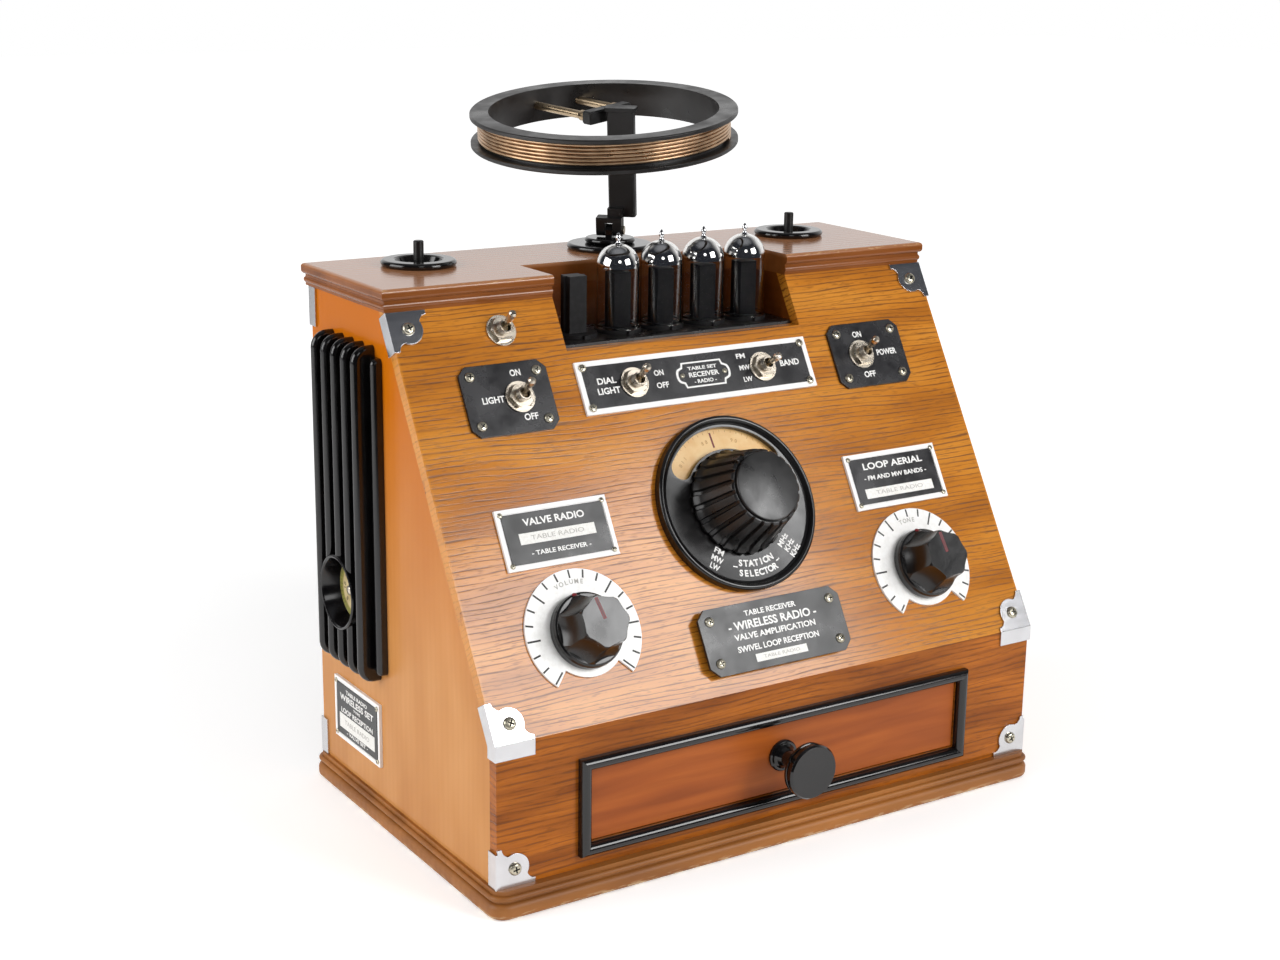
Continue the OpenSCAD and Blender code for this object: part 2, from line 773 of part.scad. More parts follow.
// Switch body behind the board, threaded bushing, washer and hexagon nut
module switch_bushing(p) {
    body = [13, 9, 9];
    bore = 2 * lever_ball + 0.4;
    color("silver") on_slope(p[0], p[1]) difference() {
        union() {
            translate([-body[0] / 2, -body[1] / 2, -board_t - body[2]]) cube(body);
            translate([0, 0, -board_t]) cylinder(d = bush_d, h = board_t + p[2] + bush_top);
            translate([0, 0, p[2]]) cylinder(d = nut_af + 4, h = washer_t);
            translate([0, 0, p[2]]) intersection() {
                cylinder(d = nut_af / cos(30), h = washer_t + nut_t, $fn = 6);
                cylinder(r1 = nut_af / 2 + washer_t + nut_t + 0.2, r2 = nut_af / 2 + 0.2, h = washer_t + nut_t);
            }
        }
        translate([0, 0, p[2] + lever_pivot - 6]) cylinder(d = bore, h = bush_top + 4);
    }
}

module switch_bushings() { for (p = switch_places) switch_bushing(p); }

// Bat lever with its pivot ball
module switch_lever(p) {
    color("gainsboro") on_slope(p[0], p[1]) translate([0, 0, p[2] + lever_pivot])
        rotate([-p[3], 0, 0]) rotate_extrude() polygon(concat(
            [[0, -5], [0.9, -5]],
            [for (a = [-60:15:50]) [lever_ball * cos(a), lever_ball * sin(a)]],
            [[1.2, 2.2], [1.25, 4.5], [2, lever_l - 3], [1.9, lever_l - 1.2], [1.2, lever_l - 0.2],
             [0, lever_l]]
        ));
}

module main_lever() { switch_lever(switch_places[0]); }

module light_lever() { switch_lever(switch_places[1]); }

module dial_lever() { switch_lever(switch_places[2]); }

module band_lever() { switch_lever(switch_places[3]); }

module power_lever() { switch_lever(switch_places[4]); }

// Black bezel: a round rim about a flat dish with a curved window over the dial
module tuning_escutcheon() {
    r = dial_d / 2;
    hole_r = spindle_d / 2 + 2;
    window_mid = (window_in + window_out) / 2;
    cut_h = dial_plate_t + 2;
    color("black") on_slope(0, dial_s) difference() {
        rotate_extrude() {
            translate([r - rim_r, dial_rim_h - rim_r]) circle(rim_r);
            translate([r - rim_r, 0]) square([rim_r, dial_rim_h - rim_r]);
            translate([hole_r, 0]) square([r - rim_r - hole_r, dial_plate_t]);
        }
        translate([0, 0, -1]) {
            rotate([0, 0, 90 - window_half]) rotate_extrude(angle = 2 * window_half)
                translate([window_in, 0]) square([window_out - window_in, cut_h]);
            for (a = [90 - window_half, 90 + window_half])
                rotate([0, 0, a]) translate([window_mid, 0, 0]) cylinder(d = window_out - window_in, h = cut_h);
        }
    }
}

// Turning dial with its hub, a little below the escutcheon
module dial_disc() {
    disc_t = 1.2;
    hub_h = 3;
    color("wheat") on_slope(0, dial_s) translate([0, 0, -disc_t - 0.6]) difference() {
        union() {
            cylinder(d = dial_disc_d, h = disc_t);
            translate([0, 0, -hub_h]) cylinder(d = hub_d, h = hub_h + 0.2);
        }
        translate([0, 0, -hub_h - 1]) cylinder(d = spindle_d + turn_gap, h = hub_h + disc_t + 2);
    }
}

module tuning_shaft() {
    color("goldenrod") on_slope(0, dial_s) translate([0, 0, -shaft_back])
        cylinder(d = spindle_d, h = shaft_back + shaft_front);
}

// Knob with a scalloped skirt, a cove, a ribbed grip that narrows upwards and a plain face
module tuning_knob() {
    skirt_z = 3.2;
    skirt_r = tune_skirt_d / 2;
    grip_z = 8;
    grip_r = skirt_r - 4.5;
    face_r = tune_face_d / 2;
    rib_r = face_r + 2.2;
    rib_z = tune_h - 2.6;
    lean = atan((grip_r - rib_r) / (rib_z - grip_z));
    scallop_r = 2.2;
    color("black") on_slope(0, dial_s) difference() {
        rotate_extrude() polygon([
            [0, skirt_z], [skirt_r, skirt_z], [skirt_r, skirt_z + 1.2], [skirt_r - 1.8, skirt_z + 2],
            [skirt_r - 3.4, skirt_z + 3], [grip_r + 0.3, grip_z - 0.9], [grip_r, grip_z], [rib_r, rib_z],
            [rib_r - 0.3, rib_z + 0.6], [rib_r - 1, rib_z + 0.9], [face_r + 0.8, rib_z + 0.6],
            [face_r + 0.4, rib_z + 0.6], [face_r + 0.4, tune_h - 0.5], [face_r - 0.1, tune_h], [0, tune_h]
        ]);
        for (i = [0:flute_n - 1]) rotate([0, 0, (i + 0.5) * 360 / flute_n]) {
            translate([grip_r - groove_in, -groove_w / 2, grip_z + 0.4]) rotate([0, -lean, 0])
                cube([6, groove_w, (rib_z - grip_z) / cos(lean) + 0.8]);
            translate([skirt_r + scallop_r - 1, 0, skirt_z - 1]) cylinder(r = scallop_r, h = 4);
        }
        translate([0, 0, skirt_z - 1]) cylinder(d = spindle_d + turn_gap, h = shaft_front - skirt_z + 1.4);
    }
}

// Mounting plate behind the slope with the tuning capacitor's frame and its bearing
module tuning_gang() {
    box_w = 42;
    plate = 2;
    box_back = shaft_back - plate;
    color("lightsteelblue") on_slope(0, dial_s) difference() {
        union() {
            translate([-gang_w / 2, -gang_w / 2, -board_t - plate]) cube([gang_w, gang_w, plate]);
            translate([-box_w / 2, -box_w / 2, -box_back]) cube([box_w, box_w, box_back - board_t - plate / 2]);
        }
        translate([0, 0, -shaft_back - 1]) cylinder(d = spindle_d + turn_gap, h = shaft_back + 2);
        translate([0, 0, -board_t - hub_well]) cylinder(d = hub_d + 2, h = hub_well + 2);
    }
}

// White scale, open at the bottom, where a thin rim is left
module control_scales() {
    gap = 42;
    bore_r = knob_skirt_d / 2 - 4.5;
    rim_out = knob_skirt_d / 2 + 3.1;
    color("white") for (x = [-control_x, control_x]) on_slope(x, control_s) difference() {
        cylinder(d = scale_d, h = scale_t);
        translate([0, 0, -1]) cylinder(r = bore_r, h = scale_t + 2);
        rotate([0, 0, -90 - gap]) translate([0, 0, -1]) rotate_extrude(angle = 2 * gap)
            translate([rim_out, 0]) square([scale_d, scale_t + 2]);
    }
}

// Potentiometers: can behind the board, a bored bushing through it and a nut on the front
module control_pots() {
    can_d = 24;
    can_h = 9;
    pot_nut_af = 12;
    pot_nut_t = 1.6;
    color("silver") for (x = [-control_x, control_x]) on_slope(x, control_s) difference() {
        union() {
            translate([0, 0, -board_t - can_h]) cylinder(d = can_d, h = can_h);
            translate([0, 0, -board_t - 1]) cylinder(d = pot_bush_d, h = board_t + 1 + pot_bush_top);
            cylinder(d = pot_nut_af / cos(30), h = pot_nut_t, $fn = 6);
        }
        translate([0, 0, -board_t - pot_depth - 1])
            cylinder(d = spindle_d + turn_gap, h = board_t + pot_depth + pot_bush_top + 2);
    }
}

// Seven-sided knob with hollow sides, its skirt and its own spindle
module small_knob(x, turn) {
    skirt_z = pot_bush_top + 0.4;
    skirt_r = knob_skirt_d / 2;
    grip_z = skirt_z + 5.2;
    low_r = skirt_r - 1.2;
    scoop_z = knob_h - 2;
    scoop_at = knob_flat + sqrt(scoop_r * scoop_r - 4);
    color("black") on_slope(x, control_s) rotate([0, 0, turn]) union() {
        rotate_extrude() polygon([
            [0, skirt_z], [skirt_r, skirt_z], [skirt_r, grip_z - 2.2], [skirt_r - 0.4, grip_z - 0.8],
            [skirt_r - 1.4, grip_z], [0, grip_z]
        ]);
        difference() {
            rotate_extrude() polygon([
                [0, skirt_z + 1], [low_r, skirt_z + 1], [low_r, grip_z], [knob_corner, knob_h - 0.5],
                [knob_corner - 0.4, knob_h], [0, knob_h]
            ]);
            difference() {
                for (i = [0:6]) rotate([0, 0, (i + 0.5) * 360 / 7]) translate([scoop_at, 0, scoop_z]) sphere(scoop_r);
                cylinder(r = 3 * skirt_r, h = grip_z);
            }
        }
        translate([0, 0, -board_t - pot_depth]) cylinder(d = spindle_d, h = board_t + pot_depth + skirt_z + 1);
    }
}

module volume_knob() { small_knob(-control_x, volume_rest); }

module tone_knob() { small_knob(control_x, tone_rest); }

// A strip's section across the wall, reach high, with a half-round end
module bullnose(reach) {
    translate([reach - fin_t / 2, 0]) circle(fin_t / 2);
    translate([0, -fin_t / 2]) square([reach - fin_t / 2, fin_t]);
}

// Fin with a half-round edge that runs round both ends, its foot on the side
module fin(y, z0, h, reach, round_r) {
    on_left(y, z0) rotate([0, -90, 0]) {
        translate([0, round_r, 0]) rotate([-90, 0, 0]) linear_extrude(h - 2 * round_r) bullnose(reach);
        for (m = [0, 1]) translate([0, m * h, 0]) mirror([0, m, 0]) translate([reach - round_r, round_r, 0])
            rotate([0, 0, -90]) rotate_extrude(angle = 90) intersection() {
                bullnose(round_r);
                translate([0, -fin_t]) square([round_r + 1, 2 * fin_t]);
            }
        rotate([90, 0, 90]) linear_extrude(reach - round_r) {
            translate([fin_t / 2, -fin_t / 2]) square([h - fin_t, fin_t]);
            for (z = [fin_t / 2, h - fin_t / 2]) translate([z, 0]) circle(fin_t / 2);
        }
    }
}

module side_grille() {
    step = 5;
    slot_w = 4;
    slot_h = 60;
    color("black") difference() {
        union() {
            on_left(grille_y, grille_z + step) translate([-(fin_last - fin_first) / 2 - rib_off, 0, 0])
                cube([fin_last - fin_first + 2 * rib_off, grille_h - 2 * step, grille_back]);
            for (i = [0:fin_n - 1]) fin(fin_first + i * fin_pitch, grille_z, grille_h, fin_reach, fin_round);
            for (y = [fin_first - rib_off, fin_last + rib_off])
                fin(y, grille_z + step, grille_h - 2 * step, rib_reach, fin_t / 2 + 0.4);
        }
        on_left(grille_y, gauge_z) translate([0, 0, -1]) cylinder(d = gauge_d + pass_gap, h = fin_reach + 2);
        for (i = [0:fin_n - 2])
            on_left(fin_first + (i + 0.5) * fin_pitch, speaker_z - slot_h / 2)
                translate([-slot_w / 2, 0, -1]) cube([slot_w, slot_h, grille_back + 2]);
    }
}

// Round gauge: a deep cup with a rounded lip, a sunk face and a pin for its pointer
module gauge_cup() {
    r = gauge_d / 2;
    face_r = r - 4.2;
    top = fin_reach + 0.6;
    color("darkkhaki") on_left(grille_y, gauge_z) rotate_extrude() polygon([
        [0, 0], [r, 0], [r, top - 0.7], [r - 0.3, top - 0.2], [r - 0.8, top], [r - 1.3, top - 0.2],
        [r - 1.7, top - 0.8], [face_r, gauge_face_z], [gauge_pin_d / 2, gauge_face_z],
        [gauge_pin_d / 2, gauge_face_z + 2], [0, gauge_face_z + 2]
    ]);
}

module gauge_pointer() {
    tip = 11.5;
    tail = 5;
    hub_r = 2.2;
    color("black") on_left(grille_y, gauge_z) rotate([0, 0, 110]) translate([0, 0, gauge_face_z + 0.5])
        difference() {
            union() {
                cylinder(r = hub_r, h = 1);
                translate([0, 0, 0.1]) linear_extrude(0.6)
                    polygon([[-tail, -0.7], [0, -0.9], [tip, -0.25], [tip, 0.25], [0, 0.9], [-tail, 0.7]]);
            }
            translate([0, 0, -1]) cylinder(d = gauge_pin_d + turn_gap, h = 4);
        }
}

// Loudspeaker on the inside of the left board: rim, basket and magnet
module loudspeaker() {
    r = speaker_d / 2;
    rim_w = 7;
    rim_t = 2;
    cone_h = 18;
    coil_r = 8;
    magnet_r = 20;
    magnet_t = 12;
    color("gray") on_left(grille_y, speaker_z) translate([0, 0, -side_t]) mirror([0, 0, 1])
        rotate_extrude() polygon([
            [r - rim_w, 0], [r, 0], [r, rim_t], [r - rim_w + 2, rim_t + 1], [magnet_r - 6, cone_h],
            [magnet_r, cone_h], [magnet_r, cone_h + magnet_t], [0, cone_h + magnet_t],
            [0, cone_h - 6], [coil_r, cone_h - 6]
        ]);
}

// Circuit board on rails over the drawer's case, with the transformer and a row of cans
module receiver_chassis() {
    board = [200, 85, 2];
    rail = [8, 50, 8];
    trafo = [48, 42, 40];
    can_d = 18;
    can_h = 30;
    can_pitch = 30;
    can_in = 20;
    y0 = -10;
    color("darkolivegreen") translate([-board[0] / 2, y0, housing_top]) union() {
        for (x = [0, board[0] - rail[0]]) translate([x, 0, 0]) cube(rail + [0, 0, board[2] / 2]);
        translate([0, 0, rail[2]]) cube(board);
        translate([board[0] - trafo[0] - rail[0], 30, rail[2] + board[2] / 2]) cube(trafo);
        for (i = [0:2]) translate([can_in + can_pitch * i, board[1] - 25, rail[2] + board[2] / 2])
            cylinder(d = can_d, h = can_h);
    }
}

// Outer face of the drawer frame's half-round bead, w wide
module bead_outside(w) {
    r = frame_bead / 2;
    intersection() {
        union() {
            square([w, frame_rise - r + frame_land], center = false);
            translate([r, 0]) square([w - 2 * r, frame_rise]);
            for (x = [r, w - r]) translate([x, frame_rise - r + frame_land]) circle(r);
        }
        square([w, frame_rise]);
    }
}

// The opening inside the bead, w wide at its narrowest
module bead_inside(w) {
    r = frame_bead / 2;
    difference() {
        union() {
            translate([0, -1]) square([w, frame_rise]);
            translate([-r, frame_rise - r + frame_land]) square([w + 2 * r, frame_rise]);
        }
        for (x = [-r, w + r]) translate([x, frame_rise - r + frame_land]) circle(r);
    }
}

// Children, a section w wide that stands on the front, drawn l long across or up
module frame_bar(w, l, turn) {
    rotate([0, 0, turn]) translate([-w / 2, l / 2, 0]) rotate([90, 0, 0]) linear_extrude(l) children();
}

// Black half-round bead round the drawer opening, mitred at its corners
module drawer_frame() {
    in_w = frame_w - 2 * frame_bead;
    in_h = frame_h - 2 * frame_bead;
    color("black") on_front(0, drawer_z) difference() {
        intersection() {
            frame_bar(frame_w, frame_h, 0) bead_outside(frame_w);
            frame_bar(frame_h, frame_w, 90) bead_outside(frame_h);
        }
        intersection() {
            frame_bar(in_w, frame_h, 0) bead_inside(in_w);
            frame_bar(in_h, frame_w, 90) bead_inside(in_h);
        }
    }
}

// Open-fronted case that the drawer slides in, standing on the base
module drawer_housing() {
    w = box_w + 2 * housing_gap;
    h = box_h + 2 * housing_gap;
    y0 = front_y + board_t;
    l = drawer_l + 8;
    z0 = drawer_z - h / 2;
    color("burlywood") difference() {
        translate([-w / 2 - drawer_wall, y0, base_h]) cube([w + 2 * drawer_wall, l, housing_top - base_h]);
        translate([-w / 2, y0 - 1, z0]) cube([w, l + 1 - drawer_wall, h]);
    }
}

module drawer_box() {
    y0 = front_y + front_t;
    color("burlywood") difference() {
        translate([-box_w / 2, y0, drawer_z - box_h / 2]) cube([box_w, drawer_l - 4, box_h]);
        translate([-box_w / 2 + drawer_wall, y0 + drawer_wall, drawer_z - box_h / 2 + 3])
            cube([box_w - 2 * drawer_wall, drawer_l - 4 - 2 * drawer_wall, box_h]);
    }
}

module drawer_front() {
    color("firebrick") translate([-front_w / 2, front_y, drawer_z - front_h / 2]) cube([front_w, front_t, front_h]);
}

// Turned pull: rosette foot, neck, cove, a ring, a groove and a flat round head
module drawer_pull() {
    r = pull_d / 2;
    foot_r = 7.8;
    neck_r = 4.2;
    l = pull_l;
    color("black") on_front(0, drawer_z + 1) rotate_extrude() polygon([
        [0, 0], [foot_r, 0], [foot_r, 1.2], [foot_r - 0.6, 1.9], [foot_r - 1.6, 2.1], [neck_r + 1, 3.2],
        [neck_r, 5], [neck_r, l - 12.6], [neck_r + 0.5, l - 10.2], [neck_r + 2.2, l - 8.4], [r - 3.4, l - 7.3],
        [r - 1, l - 6.8], [r - 0.4, l - 6.1], [r - 0.4, l - 4.8], [r - 1.2, l - 4.3], [r - 1.2, l - 3.8],
        [r, l - 3.2], [r, l - 1], [r - 0.8, l], [0, l]
    ]);
}

// Fixed disc on the lid with its hollow stem
module aerial_base() {
    r = aerial_disc_d / 2;
    stem_l = 6;
    color("black") translate([0, aerial_y, lid_z]) difference() {
        union() {
            rotate_extrude() {
                translate([r - disc_h / 2, disc_h / 2]) circle(d = disc_h);
                square([r - disc_h / 2, disc_h]);
            }
            translate([0, 0, -stem_l]) cylinder(d = stem_d, h = stem_l + 1);
        }
        translate([0, 0, -stem_l - 1]) cylinder(d = pivot_d + turn_gap, h = stem_l + disc_h + 2);
    }
}

// Turning disc with its stem and the metal tongue of the knuckle
module aerial_turntable() {
    r = turntable_d / 2;
    z0 = disc_h + 0.2;
    tongue_w = 6;
    color("black") swivelled() translate([0, 0, lid_z]) difference() {
        union() {
            translate([0, 0, z0]) rotate_extrude() {
                translate([r - turntable_h / 2, turntable_h / 2]) circle(d = turntable_h);
                square([r - turntable_h / 2, turntable_h]);
            }
            translate([0, 0, -5]) cylinder(d = pivot_d, h = z0 + 6);
            translate([-tongue_t / 2, -tongue_w / 2, z0 + turntable_h - 0.5])
                cube([tongue_t, tongue_w, knuckle_h - z0 - turntable_h + 0.5]);
            translate([-tongue_t / 2, 0, knuckle_h]) rotate([0, 90, 0]) cylinder(d = tongue_w, h = tongue_t);
        }
        translate([-tongue_t, 0, knuckle_h]) rotate([0, 90, 0]) cylinder(d = pin_d + turn_gap, h = 2 * tongue_t);
    }
}

module knuckle_pin() {
    l = tongue_t + 2 * lug_gap + 2 * lug_t;
    color("silver") tilted() rotate([0, 90, 0]) {
        translate([0, 0, -l / 2]) cylinder(d = pin_d, h = l);
        translate([0, 0, l / 2]) cylinder(d = pin_d + 2, h = 1);
    }
}

// Two lugs that straddle the tongue and the flat arm above them, with a cap on its top
module aerial_arm() {
    lug_x = tongue_t / 2 + lug_gap;
    lug_w = 6.4;
    web_z = 4.2;
    web_t = 2.6;
    foot_h = 5;
    arm_x = -1;
    edge = 0.8;
    arm_z = web_z + 2;
    top_z = spool_up + bar_h / 2;
    cap_t = 1.8;
    color("black") tilted() difference() {
        union() {
            for (x = [-lug_x - lug_t, lug_x]) translate([x, 0, 0]) {
                rotate([0, 90, 0]) cylinder(d = lug_w, h = lug_t);
                translate([0, -lug_w / 2, 0]) cube([lug_t, lug_w, web_z + web_t]);
            }
            translate([-lug_x - lug_t, -lug_w / 2, web_z]) cube([2 * lug_x + 2 * lug_t, lug_w, web_t]);
            translate([arm_x + arm_w / 2, rod_front + arm_t / 2, arm_z]) linear_extrude(top_z - arm_z)
                cut_corners(arm_w, arm_t, edge);
            translate([arm_x, -1, arm_z]) cube([arm_w * 0.55, rod_front + 2, foot_h]);
            translate([arm_x + arm_w / 2, rod_front + arm_t / 2, top_z - 0.2]) linear_extrude(cap_t + 0.2)
                cut_corners(arm_w + 2, arm_t + 1.6, edge);
        }
        translate([-10, 0, 0]) rotate([0, 90, 0]) cylinder(d = pin_d + turn_gap, h = 20);
    }
}

// Crossbar behind the arm and two rods out to the spool, each with its ferrule
module aerial_rods() {
    over = 3.4;
    ferrule_d = rod_d + 1.4;
    ferrule_l = 4;
    color("silver") tilted() translate([rod_at[0], rod_at[1], spool_up]) rotate([0, 0, rod_turn]) {
        translate([-over, -bar_d / 2, -bar_h / 2]) cube([rod_pitch + 2 * over, bar_d, bar_h]);
        for (i = [0, 1]) translate([i * rod_pitch, bar_d / 2 - 0.2, 0]) rotate([-90, 0, 0]) {
            cylinder(d = rod_d, h = rod_reach(i) - bar_d / 2 + 0.2);
            cylinder(d = ferrule_d, h = ferrule_l);
        }
    }
}

// Distance from the crossbar's middle line to the bottom of a rod's hole in the spool
function rod_reach(i) = let (
    p = [rod_at[0] + i * rod_pitch * cos(rod_turn), rod_at[1] + i * rod_pitch * sin(rod_turn)] - spool_at,
    along = p * [-sin(rod_turn), cos(rod_turn)]
) sqrt(along * along - p * p + pow(spool_bore / 2 + rod_hole, 2)) - along;

module aerial_spool() {
    r = spool_d / 2;
    h = spool_h;
    edge = 0.5;
    color("black") tilted() difference() {
        translate([spool_at[0], spool_at[1], spool_up]) rotate_extrude() polygon([
            [spool_bore / 2, -h / 2], [r - edge, -h / 2], [r, -h / 2 + edge], [r, -h / 2 + flange_t],
            [drum_r, -h / 2 + flange_t], [drum_r, h / 2 - flange_t], [r, h / 2 - flange_t],
            [r, h / 2 - edge], [r - edge, h / 2], [spool_bore / 2, h / 2]
        ]);
        for (i = [0, 1]) translate([rod_at[0], rod_at[1], spool_up]) rotate([0, 0, rod_turn])
            translate([i * rod_pitch, 0, 0]) rotate([-90, 0, 0]) cylinder(d = rod_d, h = rod_reach(i));
    }
}

// Rings of a tube along the turns of the winding
function winding_point(i, k) = let (
    a = 360 * i / winding_rings,
    b = 360 * k / winding_sides,
    rr = winding_r + wire_d / 2 * cos(b)
) [rr * cos(a), rr * sin(a), winding_pitch * (i / winding_rings - wire_n / 2) + wire_d / 2 * sin(b)];

function winding_gap() = winding_pitch - wire_d;

module aerial_winding() {
    rings = wire_n * winding_rings;
    m = winding_sides;
    points = [for (i = [0:rings], k = [0:m - 1]) winding_point(i, k)];
    sides = [for (i = [0:rings - 1], k = [0:m - 1]) let (a = i * m + k, b = i * m + (k + 1) % m)
        each [[a, a + m, b], [b, a + m, b + m]]];
    ends = [for (k = [1:m - 2]) each [[0, k, k + 1], [rings * m, rings * m + k + 1, rings * m + k]]];
    echo("least gap between turns", winding_gap());
    color("peru") tilted() translate([spool_at[0], spool_at[1], spool_up]) polyhedron(points, concat(sides, ends));
}

base_plinth();
side_panel_left();
side_panel_right();
slope_panel();
lower_panel();
rear_cover();
top_lid();
valve_bay();
valve_deck();
valve_cores();
valve_glass(1);  // valve_glass_1
valve_glass(2);  // valve_glass_2
valve_glass(3);  // valve_glass_3
valve_glass(4);  // valve_glass_4
terminal_rings();
terminal_posts();
top_corners();
bend_corners();
foot_corners();
rear_corners();
face_screws();
light_plate();
power_plate();
band_plate();
left_nameplate();
right_nameplate();
centre_plate();
side_nameplate();
switch_bushings();
main_lever();
light_lever();
dial_lever();
band_lever();
power_lever();
tuning_escutcheon();
dial_disc();
tuning_shaft();
tuning_knob();
tuning_gang();
control_scales();
control_pots();
volume_knob();
tone_knob();
side_grille();
gauge_cup();
gauge_pointer();
loudspeaker();
receiver_chassis();
drawer_frame();
drawer_housing();
drawer_box();
drawer_front();
drawer_pull();
aerial_base();
aerial_turntable();
knuckle_pin();
aerial_arm();
aerial_rods();
aerial_spool();
aerial_winding();
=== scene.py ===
from math import cos, pi, radians, sin
import bmesh
import bpy
from mathutils import Matrix, Vector


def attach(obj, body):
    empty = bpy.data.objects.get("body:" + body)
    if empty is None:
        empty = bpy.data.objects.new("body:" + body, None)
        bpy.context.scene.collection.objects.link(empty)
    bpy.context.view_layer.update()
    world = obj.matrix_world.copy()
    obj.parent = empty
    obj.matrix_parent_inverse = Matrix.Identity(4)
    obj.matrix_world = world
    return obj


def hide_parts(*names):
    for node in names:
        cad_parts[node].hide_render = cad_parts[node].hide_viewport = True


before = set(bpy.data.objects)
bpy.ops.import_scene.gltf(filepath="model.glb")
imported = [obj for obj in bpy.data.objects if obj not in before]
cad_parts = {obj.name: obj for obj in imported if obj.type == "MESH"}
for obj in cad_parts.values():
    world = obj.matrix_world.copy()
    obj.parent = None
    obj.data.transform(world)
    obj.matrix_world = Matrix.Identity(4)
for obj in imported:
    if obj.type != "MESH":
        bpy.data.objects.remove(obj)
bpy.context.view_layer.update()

scene = bpy.context.scene
mm = 0.001

# The camera that the photograph's straight edges give
photoView = {"place": (-0.5394, -0.7986, 0.4194), "azimuth": -32.86, "elevation": 15.21,
             "roll": 0.8, "lens": 56.44}


# The direction out to an azimuth and an elevation in degrees
def outward(azimuth, elevation):
    az, el = radians(azimuth), radians(elevation)
    return Vector((sin(az) * cos(el), -cos(az) * cos(el), sin(el)))


def setCamera(view):
    back, roll = outward(view["azimuth"], view["elevation"]), radians(view["roll"])
    right = (-back).cross(Vector((0, 0, 1))).normalized()
    up = right.cross(-back)
    across = right * cos(roll) + up * sin(roll)
    upward = up * cos(roll) - right * sin(roll)
    lens = bpy.data.cameras.new("photoCamera")
    lens.lens = view["lens"]
    lens.sensor_width = 36
    lens.clip_start = 0.01
    camera = bpy.data.objects.new("photoCamera", lens)
    turn = Matrix((across, upward, back)).transposed().to_4x4()
    camera.matrix_world = Matrix.Translation(view["place"]) @ turn
    scene.collection.objects.link(camera)
    scene.camera = camera


def hexLinear(code):
    parts = [int(code[i:i + 2], 16) / 255 for i in (1, 3, 5)]
    return [c / 12.92 if c <= 0.04045 else ((c + 0.055) / 1.055) ** 2.4 for c in parts] + [1.0]


def emptyTree(block):
    block.use_nodes = True
    block.node_tree.nodes.clear()
    return block.node_tree


# Adds a node. Its inputs go by name or number, or as a list in the node's own order, and each is a
# node whose first output is linked, a socket to link or a value to set.
def add(tree, kind, inputs=(), ramp=(), **settings):
    node = tree.nodes.new("ShaderNode" + kind)
    for key, value in settings.items():
        setattr(node, key, value)
    for key, value in inputs.items() if isinstance(inputs, dict) else enumerate(inputs):
        if isinstance(value, bpy.types.Node):
            value = value.outputs[0]
        if isinstance(value, bpy.types.NodeSocket):
            tree.links.new(value, node.inputs[key])
        else:
            node.inputs[key].default_value = value
    for k, (at, code) in enumerate(ramp):
        mark = node.color_ramp.elements[k] if k < 2 else node.color_ramp.elements.new(at)
        mark.position = at
        mark.color = hexLinear(code)
    return node


# The window stands where the lower left of the slope mirrors it, and ends short of what the
# upper plates and the right-hand controls mirror, so those stay dark
studio = {
    "lamps": {  # azimuth, elevation, distance, width, height in metres, radiance
        "frontWindow": (28, 24, 1.6, 0.74, 0.76, 8.9),
        "leftWindow": (-103, 20, 1.5, 1.1, 0.9, 4.4),
        "roundLamp": (-23, 30, 1.5, 0.42, 0.42, 3.0),
    },
    "aim": (0, -0.03, 0.15),
    "sky": 0.46,            # what lights the radio from all round
    "backdrop": "#ffffff",  # behind the radio, low down and to the right, seen only in gloss
    "room": "#2e3036",      # all the rest round it, seen only in gloss
    "ceiling": "#85878c",
    "mirrored": {  # an axis of the direction, where that part of the surroundings begins, where it is full
        "behind": ("Y", -0.45, 0.05), "low": ("Z", 0.85, 0.45), "right": ("X", -0.45, -0.10),
        "above": ("Z", 0.80, 0.97),
    },
    "floor": "#f4f4f4",
    "floorHalf": 6,                 # metres from the middle to its edges
    "floorLift": (0.34, 0.64),      # takes the open floor up to white, near the radio and far off
    "floorFar": (0.35, 1.1),
    "tableEdge": (-0.42, -0.60),    # gloss sees the floor fade into the dark room between these
}


def addLamp(name, azimuth, elevation, reach, wide, high, radiance):
    lamp = bpy.data.lights.new(name, "AREA")
    lamp.shape = "ELLIPSE" if name.startswith("round") else "RECTANGLE"
    lamp.size, lamp.size_y = wide, high
    area = wide * high * (pi / 4 if lamp.shape == "ELLIPSE" else 1)
    lamp.energy = radiance * pi * area
    out = outward(azimuth, elevation)
    obj = bpy.data.objects.new(name, lamp)
    turn = out.to_track_quat("Z", "Y").to_matrix().to_4x4()
    obj.matrix_world = Matrix.Translation(out * reach + Vector(studio["aim"])) @ turn
    scene.collection.objects.link(obj)


